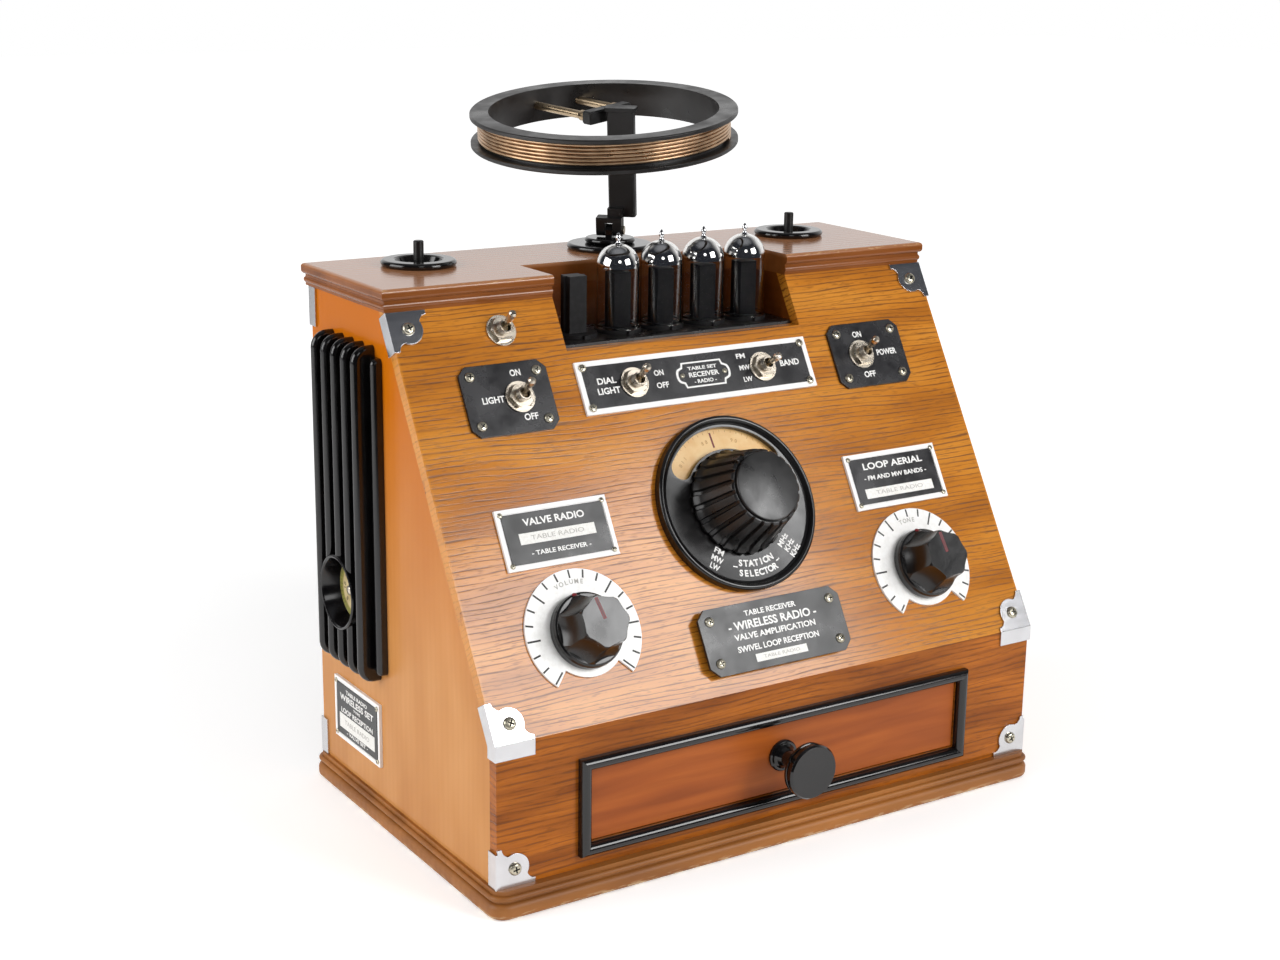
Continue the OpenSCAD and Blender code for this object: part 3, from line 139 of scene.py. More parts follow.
def makeStudio():
    for name, values in studio["lamps"].items():
        addLamp(name, *values)
    world = bpy.data.worlds.new("studio")
    scene.world = world
    tree = emptyTree(world)
    where = add(tree, "TexCoord")
    axis = add(tree, "SeparateXYZ", {"Vector": where.outputs["Generated"]})
    part = {name: add(tree, "MapRange", [axis.outputs[way], start, full])
            for name, (way, start, full) in studio["mirrored"].items()}
    room = add(tree, "Mix", {0: part["above"], 6: hexLinear(studio["room"]),
                             7: hexLinear(studio["ceiling"])}, data_type="RGBA")
    rear = add(tree, "Math", [part["behind"], part["low"]], operation="MULTIPLY")
    white = add(tree, "Math", [rear, part["right"]], operation="MULTIPLY")
    shine = add(tree, "Mix", {0: white, 6: room.outputs[2], 7: hexLinear(studio["backdrop"])},
                data_type="RGBA")
    # What stands behind glass, such as a getter, is lit by the room and not by the backdrop
    ray = dict(add(tree, "LightPath").outputs.items())
    for name, first, second, operation in (
            ("bounced", "Glossy Depth", "Diffuse Depth", "ADD"),
            ("unmirrored", "bounced", 0.5, "LESS_THAN"),
            ("through", "Is Transmission Ray", "unmirrored", "MULTIPLY"),
            ("undimmed", "Diffuse Depth", 0.5, "LESS_THAN"),
            ("shown", "Is Transmission Ray", "undimmed", "MULTIPLY"),
            ("mirror", "Is Glossy Ray", "shown", "MAXIMUM"),
            ("clear", "Is Camera Ray", "through", "MAXIMUM")):
        ray[name] = add(tree, "Math", [ray[first], ray.get(second, second)], operation=operation)
    soft = add(tree, "Background", {"Color": (1, 1, 1, 1), "Strength": studio["sky"]})
    gloss = add(tree, "Background", {"Color": shine.outputs[2], "Strength": 1.0})
    seen = add(tree, "Background", {"Color": (1, 1, 1, 1), "Strength": 1.0})
    lit = add(tree, "MixShader", [ray["mirror"], soft, gloss])
    final = add(tree, "MixShader", [ray["clear"], lit, seen])
    add(tree, "OutputWorld", {"Surface": final})
    scene.view_settings.view_transform = "Standard"


def makeFloor():
    bm = bmesh.new()
    bmesh.ops.create_grid(bm, x_segments=1, y_segments=1, size=studio["floorHalf"])
    mesh = bpy.data.meshes.new("paleFloor")
    bm.to_mesh(mesh)
    bm.free()
    skin = bpy.data.materials.new("paleFloor")
    tree = emptyTree(skin)
    paint = add(tree, "BsdfDiffuse", {"Color": hexLinear(studio["floor"])})
    rays = add(tree, "LightPath")
    seen = add(tree, "Math", [rays.outputs["Is Camera Ray"], rays.outputs["Is Transmission Ray"]],
               operation="MAXIMUM")
    where = add(tree, "TexCoord")
    off = add(tree, "VectorMath", [where.outputs["Object"]], operation="LENGTH").outputs["Value"]
    start, end = studio["floorFar"]
    near, far = studio["floorLift"]
    bright = add(tree, "MapRange", [off, start, end, near, far])
    fading = add(tree, "MapRange", [off, start, end, near, 0.0])
    plain = add(tree, "Math", [seen, bright], operation="MULTIPLY")
    gloss = add(tree, "Math", [rays.outputs["Is Glossy Ray"], fading], operation="MULTIPLY")
    lift = add(tree, "Math", [plain, gloss], operation="MAXIMUM")
    glow = add(tree, "Emission", {"Color": (1, 1, 1, 1), "Strength": lift})
    both = add(tree, "AddShader", [paint, glow])
    # Gloss sees the floor end at the table's edge in front, and the room past it
    axis = add(tree, "SeparateXYZ", {"Vector": where.outputs["Object"]})
    edge, past = studio["tableEdge"]
    ahead = add(tree, "MapRange", [axis.outputs["Y"], edge, past])
    mirrored = add(tree, "Math", [rays.outputs["Is Glossy Ray"], ahead], operation="MULTIPLY")
    dark = add(tree, "Emission", {"Color": hexLinear(studio["room"]), "Strength": 1.0})
    final = add(tree, "MixShader", [mirrored, both, dark])
    add(tree, "OutputMaterial", {"Surface": final})
    floor = bpy.data.objects.new("paleFloor", mesh)
    floor.location.z = -0.2 * mm    # clear of the base's underside
    mesh.materials.append(skin)
    scene.collection.objects.link(floor)


setCamera(photoView)
makeStudio()
makeFloor()
print("camera, floor and light set")

# Where the cabinet's faces are, in millimetres
cabinet = {"wide": 309, "frontY": -91.5, "backY": 91.5, "top": 254, "bend": 81, "slope": 59.7,
           "slopeLong": 200.4, "base": 13.5}
slopeTurn = radians(cabinet["slope"])


# A place in the radio's frame, drawn in millimetres there
def upright(x, y, z, turn=Matrix.Identity(4)):
    return Matrix.Translation((x * mm, y * mm, z * mm)) @ turn @ Matrix.Scale(mm, 4)


# Places on the faces: s runs up the slope from the bend, h stands out of the face
def onSlope(x, s, h=0.0):
    y = cabinet["frontY"] + s * cos(slopeTurn) - h * sin(slopeTurn)
    z = cabinet["bend"] + s * sin(slopeTurn) + h * cos(slopeTurn)
    return upright(x, y, z, Matrix.Rotation(slopeTurn, 4, "X"))


def onFront(x, z, h=0.0):
    return upright(x, cabinet["frontY"] - h, z, Matrix.Rotation(pi / 2, 4, "X"))


def onLeft(y, z, h=0.0):
    turn = Matrix(((0, 0, -1), (-1, 0, 0), (0, 1, 0))).to_4x4()
    return upright(-cabinet["wide"] / 2 - h, y, z, turn)


def onBack(x, z, h=0.0):
    return upright(x, cabinet["backY"] + h, z, Matrix.Rotation(-pi / 2, 4, "X"))


def shift(x, y, z=0.0):
    return Matrix.Translation((x, y, z))


def spin(angle):
    return Matrix.Rotation(radians(angle), 4, "Z")


skins = {}


# A new material and its place on the radio in millimetres, turned so that X runs along the grain
def startSkin(name, turn=(0, 0, 0)):
    skin = bpy.data.materials.new(name)
    tree = emptyTree(skin)
    where = add(tree, "TexCoord")
    inMm = add(tree, "Mapping", {"Vector": where.outputs["Object"], "Rotation": turn,
                                 "Scale": (1 / mm, 1 / mm, 1 / mm)})
    skins[name] = skin
    return tree, inMm


def endSkin(tree, values):
    add(tree, "OutputMaterial", {"Surface": add(tree, "BsdfPrincipled", values)})


# Sliced oak under satin varnish: open pores stand as dark broken lines in wavy rows along the
# grain, and the varnish is duller over them. Real pores are 0.3 mm wide and are drawn 0.6 to
# 0.8 mm wide, or they wouldn't show. The finer woods have soft streaks in their place.
def varnishedVeneer(name, turn, tones, wood):
    tree, inMm = startSkin(name, turn)
    light, middle, deep, pore = tones
    bent = inMm
    for size, detail, sway in (((110, 38, 38), 1.5, (0, wood["drift"], wood["drift"])),
                               ((20, 2.4, 2.4), 1.0, (0, wood["wiggle"], 0))):
        space = add(tree, "Mapping", {"Vector": inMm, "Scale": [1 / s for s in size]})
        wander = add(tree, "TexNoise", {"Vector": space, "Scale": 1.0, "Detail": detail})
        bent = add(tree, "VectorMath", [wander.outputs["Color"], sway, bent], operation="MULTIPLY_ADD")
    rowSpace = add(tree, "Mapping", {"Vector": bent, "Scale": (1 / 32, 1.0, 1 / 8)})
    rows = add(tree, "TexWave", {"Vector": rowSpace, "Scale": 2 * pi / 20 / wood["rowGap"],
                                 "Distortion": wood["figure"], "Detail": 2.0, "Detail Scale": 1.0,
                                 "Detail Roughness": 0.6}, bands_direction="Y")
    line = add(tree, "MapRange", [rows.outputs["Fac"], 0.0, wood["rowWide"], 1.0, 0.0])
    # Size along and across the grain and in depth, detail, the part of the noise used, what it gives
    noise, shade = {}, {}
    for key, size, detail, (low, high), (least, most) in (
            ("dash", (wood["poreLong"], 1.1, 3), 1.0, (0.42, 0.55), (wood["rowSoft"], 1.0)),
            ("fleck", (6, 0.6, 2), 1.0, (0.57, 0.70), (0.0, wood["fleck"])),
            ("zone", (90, wood["zoneWide"], 20), 2.0, (0.34, 0.66), (0.0, 1.0)),
            ("fibre", (18, 0.8, 2), 2.0, (0.3, 0.7), (0.0, wood["fibre"]))):
        space = add(tree, "Mapping", {"Vector": bent, "Scale": [1 / s for s in size]})
        noise[key] = add(tree, "TexNoise", {"Vector": space, "Scale": 1.0, "Detail": detail})
        shade[key] = add(tree, "MapRange", [noise[key], low, high, least, most])
    inkRow = add(tree, "Math", [line, shade["dash"]], operation="MULTIPLY")
    ink = add(tree, "Math", [inkRow, shade["fleck"]], operation="MAXIMUM")
    ground = add(tree, "ValToRGB", {"Fac": shade["zone"]}, [(0.0, deep), (0.5, middle), (1.0, light)])
    streaked = add(tree, "Mix", {0: shade["fibre"], 6: ground, 7: hexLinear(deep)}, data_type="RGBA")
    reach = add(tree, "Math", [ink, wood["poreDark"]], operation="MULTIPLY")
    stained = add(tree, "Mix", {0: reach, 6: streaked.outputs[2], 7: hexLinear(pore)}, data_type="RGBA")
    color = stained.outputs[2]
    if "paintedLight" in wood:
        color = paintedLightByHeight(tree, color, wood["paintedLight"])
    if "worn" in wood:
        color = wornThrough(tree, color, wood["worn"])
    satin = add(tree, "MapRange", [ink, 0.0, 1.0, wood["rough"], wood["rough"] + wood["poreRough"]])
    relief = add(tree, "Math", [noise["fibre"], 0.25, ink], operation="MULTIPLY_ADD")
    dent = add(tree, "Bump", {"Height": relief, "Strength": 0.5, "Distance": 0.02 * mm}, invert=True)
    endSkin(tree, {"Base Color": color, "Roughness": satin, "IOR": 1.48,
                   "Specular IOR Level": wood["gloss"], "Normal": dent})


# Painted light by height: a paler top on the lid is a painted sheen, a deeper orange upper side is painted
# shade
def paintedLightByHeight(tree, color, paintedLight):
    where = add(tree, "TexCoord")
    axis = add(tree, "SeparateXYZ", {"Vector": where.outputs["Object"]})
    start, end = paintedLight["from"] * mm, paintedLight["to"] * mm
    upper = add(tree, "MapRange", [axis.outputs["Z"], start, end, 0.0, paintedLight["amount"]])
    return add(tree, "Mix", {0: upper, 6: color, 7: hexLinear(paintedLight["tone"])}, data_type="RGBA").outputs[2]


# Chips along an edge where the stain is knocked off and pale wood shows
def wornThrough(tree, color, worn):
    where = add(tree, "TexCoord")
    inMm = add(tree, "VectorMath", {0: where.outputs["Object"], "Scale": 1 / mm}, operation="SCALE")
    axis = add(tree, "SeparateXYZ", {"Vector": inMm})
    mask = None
    for name, start, full in worn["zones"]:
        value = axis.outputs[name[-1]]
        if name.startswith("abs"):
            value = add(tree, "Math", [value], operation="ABSOLUTE")
        near = add(tree, "MapRange", [value, start, full])
        mask = near if mask is None else add(tree, "Math", [mask, near], operation="MULTIPLY")
    chipSpace = add(tree, "Mapping", {"Vector": inMm, "Scale": worn["chip"]})
    chip = add(tree, "TexNoise", {"Vector": chipSpace, "Scale": 1.0, "Detail": 3.0})
    chipped = add(tree, "MapRange", [chip, worn["rare"], worn["rare"] + 0.08, 0.0, worn["amount"]])
    both = add(tree, "Math", [mask, chipped], operation="MULTIPLY")
    return add(tree, "Mix", {0: both, 6: color, 7: hexLinear(worn["bare"])}, data_type="RGBA").outputs[2]


grain = {"slope": (-slopeTurn, 0, 0), "front": (-pi / 2, 0, 0), "flat": (0, 0, 0), "upright": (0, pi / 2, 0)}
# drift, wiggle, rowGap, poreLong and zoneWide are in millimetres, and the rest are strengths
oak = {"drift": 9.0, "wiggle": 1.2, "figure": 7.0, "rowGap": 2.6, "rowWide": 0.22, "rowSoft": 0.45,
       "poreLong": 16.0, "fleck": 0.50, "zoneWide": 16.0, "fibre": 0.32, "poreDark": 0.84, "rough": 0.14,
       "poreRough": 0.12, "gloss": 0.5}
fine = dict(oak, figure=3.0, rowGap=5.0, rowWide=0.9, rowSoft=0.7, poreDark=0.09, fleck=0.10, zoneWide=30.0,
            fibre=0.18, rough=0.20, poreRough=0.05)
slopeEdge = {"zones": [("absX", 153.3, 154.4)], "chip": (1.0, 0.12, 0.12), "rare": 0.34, "amount": 0.6,
             "bare": "#d08a30"}
lidEdge = {"zones": [("Y", 9.2, 8.3), ("Z", 262.9, 264.2)], "chip": (0.22, 0.9, 0.9), "rare": 0.55,
           "amount": 0.7, "bare": "#cfa878"}
baseEdge = {"zones": [("Z", 3.2, 0.6)], "chip": (0.16, 0.16, 0.8), "rare": 0.50, "amount": 0.85,
            "bare": "#dfc59c"}
varnishedVeneer("oakVeneerSlope", grain["slope"], ("#cf8831", "#c27925", "#ab671f", "#56300f"),
                dict(oak, worn=slopeEdge))
varnishedVeneer("oakVeneerFront", grain["front"], ("#b9691c", "#a25a19", "#834410", "#4c2a0f"),
                dict(oak, rowGap=3.1, rowWide=0.30, rowSoft=0.35, poreDark=0.60, rough=0.16, zoneWide=10.0,
                     gloss=0.2))
# The side's upper part is painted deeper orange, as painted shade
varnishedVeneer("oakVeneerSide", grain["upright"], ("#cb9056", "#c5894e", "#bd8046", "#a2662b"),
                dict(fine, gloss=0.12, paintedLight={"from": 90, "to": 215, "tone": "#bb650a", "amount": 1.0}))
# The lid's top faces are painted paler, as a painted sheen
varnishedVeneer("stainedOakLid", grain["flat"], ("#90552a", "#80481e", "#6d3b16", "#512f10"),
                dict(fine, rough=0.14, worn=lidEdge,
                     paintedLight={"from": 262.5, "to": 264.4, "tone": "#b5805c", "amount": 0.75}))
varnishedVeneer("stainedOakBase", grain["flat"], ("#ab6c2c", "#985e23", "#834e1b", "#5f3814"),
                dict(fine, worn=baseEdge, rough=0.5))
varnishedVeneer("stainedOakBay", grain["front"], ("#7b3f12", "#68330d", "#512609", "#3b1b06"), fine)
varnishedVeneer("mahoganyDrawer", grain["front"], ("#ac5a1f", "#9f501a", "#8f4616", "#743510"),
                dict(fine, rowGap=7.0, zoneWide=9.0, poreDark=0.22, rough=0.38, gloss=0.3))
varnishedVeneer("rawPine", grain["flat"], ("#dcb98a", "#d2ab79", "#c79d69", "#b08250"),
                dict(fine, rough=0.65))
print("woods mixed")


# Phenolic and ABS, moulded and buffed: near black, with a soft ripple in its reflections and a
# little handling haze that breaks the gloss
def mouldedPlastic(name, color, haze, rough, edge=0.0):
    tree, inMm = startSkin(name)
    cloud = add(tree, "TexNoise", {"Vector": inMm, "Scale": 1 / 14, "Detail": 4.0, "Roughness": 0.6})
    tint = add(tree, "ValToRGB", {"Fac": cloud}, [(0.35, color), (0.72, haze)])
    level = add(tree, "MapRange", [cloud, 0.35, 0.70, rough * 0.8, rough * 1.4])
    ripple = add(tree, "TexNoise", {"Vector": inMm, "Scale": 1 / 1.6, "Detail": 2.0})
    rounded = add(tree, "Bevel", {"Radius": max(edge, 0.05) * mm}, samples=4)
    skinBump = add(tree, "Bump", {"Height": ripple, "Strength": 0.4, "Distance": 0.006 * mm,
                                  "Normal": rounded})
    endSkin(tree, {"Base Color": tint, "Roughness": level, "IOR": 1.55, "Normal": skinBump})


mouldedPlastic("phenolicGloss", "#0b0a0a", "#151313", 0.11, 0.2)
mouldedPlastic("phenolicKnob", "#0a0909", "#131111", 0.21, 0.25)
mouldedPlastic("phenolicGrip", "#0a0909", "#141212", 0.32, 0.25)
mouldedPlastic("phenolicBezel", "#0b0a0a", "#131112", 0.20, 0.1)
mouldedPlastic("absFins", "#090808", "#100e0f", 0.16, 0.2)
mouldedPlastic("absSpool", "#1a1817", "#242120", 0.34, 0.4)
mouldedPlastic("absArm", "#0b0a0a", "#131111", 0.40, 0.3)
mouldedPlastic("phenolicDeck", "#0e0c0c", "#181515", 0.30, 0.3)
# Baked enamel on pressed steel: flatter than the plastic, with a slight orange peel
mouldedPlastic("enamelBlack", "#131215", "#1d1c20", 0.24, 0.3)
# A lighter copy of the black enamel: its lighter colour is a painted sheen on the plates that mirror the
# window
mouldedPlastic("enamelGrey", "#1c1c1d", "#272727", 0.30, 0.3)
print("plastics moulded")


# Chrome, nickel and zinc on pressed steel, and turned brass: a mirror that fine rub marks blur
def platedMetal(name, color, worn, rough, edge=0.15, lay=(1 / 40, 1 / 3, 1 / 3), rubbed=1.7):
    tree, inMm = startSkin(name)
    rubSpace = add(tree, "Mapping", {"Vector": inMm, "Rotation": (0.3, 0.2, 0.5), "Scale": lay})
    rub = add(tree, "TexNoise", {"Vector": rubSpace, "Scale": 1.0, "Detail": 3.0})
    level = add(tree, "MapRange", [rub, 0.35, 0.70, rough, rough * rubbed])
    cloud = add(tree, "TexNoise", {"Vector": inMm, "Scale": 1 / 9, "Detail": 3.0})
    tint = add(tree, "ValToRGB", {"Fac": cloud}, [(0.35, color), (0.72, worn)])
    rounded = add(tree, "Bevel", {"Radius": edge * mm}, samples=4)
    endSkin(tree, {"Base Color": tint, "Metallic": 1.0, "Roughness": level, "Normal": rounded})


# Chromed pressings: the top pair is the brightest; the others are rougher, and their slightly darker colour
# is painted shade
platedMetal("chromeCorner", "#dfe0e4", "#d8d9dc", 0.15, 0.35, rubbed=1.15)
platedMetal("satinCornerPaintedShade", "#d6d6d8", "#cdccce", 0.23, 0.35, rubbed=1.15)
platedMetal("nickelSwitch", "#ddd3c3", "#cabfae", 0.21, 0.2)
platedMetal("zincScrew", "#cfc9b6", "#b3ac98", 0.22)
platedMetal("turnedBrass", "#cfa850", "#b9913e", 0.22)
platedMetal("champagneRod", "#c9b394", "#b19a7b", 0.24)
platedMetal("zincBox", "#a9abac", "#8f9192", 0.36)
platedMetal("getterSilver", "#e9e9ea", "#d9d9db", 0.03)     # a mirror flashed on the inside of the glass


# Valve anodes are nickel blackened with carbon: a dull grey black with hardly any gloss
def carbonisedNickel(name, color, worn):
    tree, inMm = startSkin(name)
    soot = add(tree, "TexNoise", {"Vector": inMm, "Scale": 1 / 2.5, "Detail": 3.0})
    tint = add(tree, "ValToRGB", {"Fac": soot}, [(0.40, color), (0.75, worn)])
    rounded = add(tree, "Bevel", {"Radius": 0.4 * mm}, samples=4)
    endSkin(tree, {"Base Color": tint, "Roughness": 0.5, "Specular IOR Level": 0.25, "Normal": rounded})


carbonisedNickel("carbonisedAnode", "#171617", "#222122")
# Enamelled copper wire: a pale bronze that dulls where the enamel is rubbed
platedMetal("enamelledWire", "#cfae8c", "#a98a6c", 0.27, 0.05, (1 / 9, 1 / 9, 1 / 9))
print("metals plated")


# Paints, inks, paper and celluloid: flat colour with grain and grime in it
def paintedSurface(name, color, grime, rough, speck=3.0, relief=0.01):
    tree, inMm = startSkin(name)
    cloud = add(tree, "TexNoise", {"Vector": inMm, "Scale": 1 / speck, "Detail": 4.0, "Roughness": 0.65})
    tint = add(tree, "ValToRGB", {"Fac": cloud}, [(0.40, color), (0.80, grime)])
    peel = add(tree, "Bump", {"Height": cloud, "Strength": 0.5, "Distance": relief * mm})
    endSkin(tree, {"Base Color": tint, "Roughness": rough, "IOR": 1.5, "Normal": peel})


paintedSurface("enamelScale", "#f4f3f1", "#e4e2de", 0.30)
paintedSurface("whiteBorder", "#f4f3f2", "#e9e7e4", 0.34, 9.0)
paintedSurface("paperStrip", "#efeeea", "#d9d6cf", 0.45, 1.2)
paintedSurface("inkBlack", "#211f1f", "#35302d", 0.5)
paintedSurface("inkFaint", "#a8a49e", "#cbc8c3", 0.5, 0.8)
paintedSurface("inkWhite", "#f4f3f1", "#dddbd6", 0.4, 1.0)
paintedSurface("inkBrown", "#b27a34", "#c89654", 0.5)
paintedSurface("redFiller", "#7c0f1a", "#5c0c14", 0.42)
paintedSurface("redCore", "#3f0e14", "#55131b", 0.35)
paintedSurface("celluloidDial", "#ecc587", "#d8953c", 0.30, 22.0)
paintedSurface("gaugeCream", "#cbb98c", "#9c8450", 0.38, 6.0)
paintedSurface("gaugeBand", "#8f8a44", "#6a6430", 0.38, 5.0)
# Black lacquer for the gauge's pointer and print, and painted shade in the screws' recesses
paintedSurface("pointerLacquer", "#15110f", "#231d19", 0.32)
paintedSurface("speakerPaper", "#3a3836", "#2a2826", 0.8, 1.5, 0.05)
paintedSurface("boardLacquer", "#4d5a2e", "#3c4724", 0.4, 9.0)


# Drawn glass: almost clear, with slow waves along the drawn wall that bend what stands behind it
def drawnGlass(name, color):
    tree, inMm = startSkin(name)
    waveSpace = add(tree, "Mapping", {"Vector": inMm, "Scale": (1 / 6, 1 / 6, 1 / 30)})
    wave = add(tree, "TexNoise", {"Vector": waveSpace, "Scale": 1.0, "Detail": 1.0})
    drawn = add(tree, "Bump", {"Height": wave, "Strength": 0.4, "Distance": 0.03 * mm})
    endSkin(tree, {"Base Color": hexLinear(color), "Roughness": 0.02, "IOR": 1.47,
                   "Transmission Weight": 1.0, "Normal": drawn})


drawnGlass("drawnClearGlass", "#fbfaf8")
print("paints and glass mixed")

dressing = {
    "oakVeneerSlope": "slope_panel", "oakVeneerFront": "lower_panel", "stainedOakLid": "top_lid",
    "oakVeneerSide": "side_panel_left side_panel_right", "stainedOakBase": "base_plinth",
    "stainedOakBay": "valve_bay rear_cover", "mahoganyDrawer": "drawer_front",
    "rawPine": "drawer_box drawer_housing", "phenolicKnob": "volume_knob tone_knob",
    "phenolicGloss": "tuning_escutcheon terminal_rings drawer_pull drawer_frame aerial_base aerial_turntable",
    "phenolicGrip": "tuning_knob", "absFins": "side_grille gauge_cup", "absSpool": "aerial_spool",
    "absArm": "aerial_arm terminal_posts", "phenolicDeck": "valve_deck", "carbonisedAnode": "valve_cores",
    "enamelBlack": "light_plate power_plate", "enamelGrey": "centre_plate",
    "whiteBorder": "band_plate left_nameplate right_nameplate side_nameplate",
    "drawnClearGlass": "valve_glass_1 valve_glass_2 valve_glass_3 valve_glass_4",
    "chromeCorner": "top_corners", "satinCornerPaintedShade": "bend_corners foot_corners rear_corners",
    "nickelSwitch": "switch_bushings main_lever light_lever dial_lever band_lever power_lever",
    "zincScrew": "knuckle_pin face_screws", "celluloidDial": "dial_disc", "turnedBrass": "tuning_shaft",
    "zincBox": "tuning_gang control_pots", "boardLacquer": "receiver_chassis",
    "enamelScale": "control_scales", "pointerLacquer": "gauge_pointer", "speakerPaper": "loudspeaker",
    "champagneRod": "aerial_rods", "enamelledWire": "aerial_winding",
}
for name, nodes in dressing.items():
    for node in nodes.split():
        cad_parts[node].data.materials.clear()
        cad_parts[node].data.materials.append(skins[name])
print("nodes dressed")


# Gives a piece its materials, the body that it rides on and the nodes that it stands for
def finishPiece(name, bm, skinNames, body, stands=(), smooth=None):
    mesh = bpy.data.meshes.new(name)
    bmesh.ops.recalc_face_normals(bm, faces=bm.faces)
    bm.to_mesh(mesh)
    bm.free()
    for skin in skinNames.split():
        mesh.materials.append(skins[skin])
    obj = bpy.data.objects.new(name, mesh)
    scene.collection.objects.link(obj)
    if smooth:
        mesh.shade_smooth()
        mesh.set_sharp_from_angle(angle=radians(smooth))
    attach(obj, body)
    if stands:
        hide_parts(*stands)


# Faces between rings of points; a ring of one point closes the end
def joinRings(bm, rings, skin=0):
    for low, high in zip(rings, rings[1:]):
        for k in range(max(len(low), len(high))):
            a, b = low[k % len(low)], low[(k + 1) % len(low)]
            c, d = high[(k + 1) % len(high)], high[k % len(high)]
            corners = [v for i, v in enumerate((a, b, c, d)) if v not in (a, b, c, d)[:i]]
            if len(corners) > 2:
                bm.faces.new(corners).material_index = skin


def ringOf(bm, points, z, place):
    return [bm.verts.new(place @ Vector((x, y, z))) for x, y in points]


def arcOf(x, y, r, angles):
    return [(x + r * cos(radians(a)), y + r * sin(radians(a))) for a in angles]


def circleOf(r, steps):
    turns = [2 * pi * k / steps for k in range(steps if r > 1e-6 else 1)]
    return [(r * cos(a), r * sin(a)) for a in turns]


# A turned shape; the profile is radius and height
def lathe(bm, profile, place, steps=64, skin=0):
    joinRings(bm, [ringOf(bm, circleOf(r, steps), z, place) for r, z in profile], skin)


def slab(bm, outline, low, high, place, skin=0):
    under, over = ringOf(bm, outline, low, place), ringOf(bm, outline, high, place)
    bm.faces.new(over).material_index = skin
    bm.faces.new(under[::-1]).material_index = skin
    joinRings(bm, [under, over], skin)


def bar(bm, x0, x1, y0, y1, low, high, place, skin=0):
    slab(bm, [(x0, y0), (x1, y0), (x1, y1), (x0, y1)], low, high, place, skin)


printLift = 0.03    # from the ground to the middle of a letter's thickness, in millimetres


# Raised letters of a given height, stretched to a given width
def write(bm, words, high, place, skin=0, width=0.0, bold=0.035):
    curve = bpy.data.curves.new("words", "FONT")
    curve.body = words
    curve.size = high / 0.72            # a capital is 0.72 of the font's size
    curve.align_x = curve.align_y = "CENTER"
    curve.offset = bold * high
    curve.extrude = 0.025               # half of a letter's thickness
    curve.resolution_u = 3
    obj = bpy.data.objects.new("words", curve)
    scene.collection.objects.link(obj)
    shape = obj.evaluated_get(bpy.context.evaluated_depsgraph_get()).to_mesh()
    across = [v.co.x for v in shape.vertices]
    wide = width / (max(across) - min(across)) if width else 1.0
    shape.transform(place @ Matrix.Diagonal((wide, 1, 1, 1)))
    start = len(bm.faces)
    bm.from_mesh(shape)
    bm.faces.ensure_lookup_table()
    for face in bm.faces[start:]:
        face.material_index = skin
    bpy.data.objects.remove(obj)


def writeRound(bm, words, high, place, r, middle, step, skin=0, bold=0.035):
    foot = 1 if middle < 0 else -1      # below the centre the letters' feet point outwards
    for k, letter in enumerate(words):
        angle = middle + foot * (k - (len(words) - 1) / 2) * step
        write(bm, letter, high, place @ spin(angle) @ shift(r, 0) @ spin(90 * foot), skin, bold=bold)


# Plates round the switches
plates = {"switchS": 153.5, "sideX": 105.0, "thick": 1.5, "bandW": 134.0, "bandH": 26.2, "border": 2.6,
          "centreS": 24.0, "centreTop": 4.5,
          "plaque": {"x": 2.4, "y": 0.3, "w": 27.5, "h": 13.0, "cut": 2.2, "nick": 0.6, "ear": 3.6,
                     "earWide": 0.55, "line": 0.8}}
plateWords = (("ON", -98.8, 11.6, 3.1, 5.6), ("OFF", -96.3, -10.0, 3.1, 7.2),
              ("LIGHT", -113.4, -0.2, 3.1, 11.4), ("ON", 100.6, 10.6, 3.1, 5.6),
              ("OFF", 101.6, -11.0, 3.1, 7.2), ("POWER", 116.0, -0.2, 3.1, 12.6))
bandWords = (("DIAL", -52.3, 2.4, 3.1, 10.4), ("LIGHT", -52.3, -2.6, 3.1, 12.4),
             ("ON", -22.6, 3.2, 2.8, 5.4), ("OFF", -22.2, -3.1, 2.8, 7.0), ("FM", 26.3, 6.6, 2.5, 5.2),
             ("MW", 26.8, 0.6, 2.5, 6.2), ("LW", 27.0, -5.5, 2.5, 5.2), ("BAND", 54.2, 0.4, 3.1, 11.6))
plaqueWords = (("TABLE SET", 0, 3.1, 1.7, 17.0), ("RECEIVER", 0, -0.2, 2.4, 17.5),
               ("- RADIO -", 0, -3.7, 1.9, 13.0))


# Each line's words, middle, letter height and width
def writeLines(bm, lines, place, skin):
    for words, x, y, cap, width in lines:
        write(bm, words, cap, place @ shift(x, y), skin, width)


# A paper strip with faint words; the strip is its middle, width and height
def labelStrip(bm, place, strip, cap, wide, skin, low=0.0, high=0.12):
    x, y, w, h = strip
    bar(bm, x - w / 2, x + w / 2, y - h / 2, y + h / 2, low, high, place, skin)
    write(bm, "TABLE RADIO", cap, place @ shift(x, y, high + printLift), skin + 1, wide, 0.0)


def switchWords():
    bm = bmesh.new()
    writeLines(bm, plateWords, onSlope(0, plates["switchS"], plates["thick"] + printLift), 0)
    finishPiece("switchWords", bm, "inkWhite", "cabinet")


def plaqueOutline(grow):
    p = plates["plaque"]
    w, h, c, ear = p["w"] / 2 + grow, p["h"] / 2 + grow, p["cut"], p["ear"] + grow
    nick, wide = p["nick"], ear * p["earWide"]
    right = [(w - c, h), (w - c + nick, h - c), (w, h - c - nick)] if c < h - ear else [(w, h)]
    right += [(w + wide * sin(radians(a)), ear * cos(radians(a))) for a in range(0, 91, 15)]
    top = right + [(x, -y) for x, y in right[::-1][1:]]
    return top + [(-x, -y) for x, y in top]


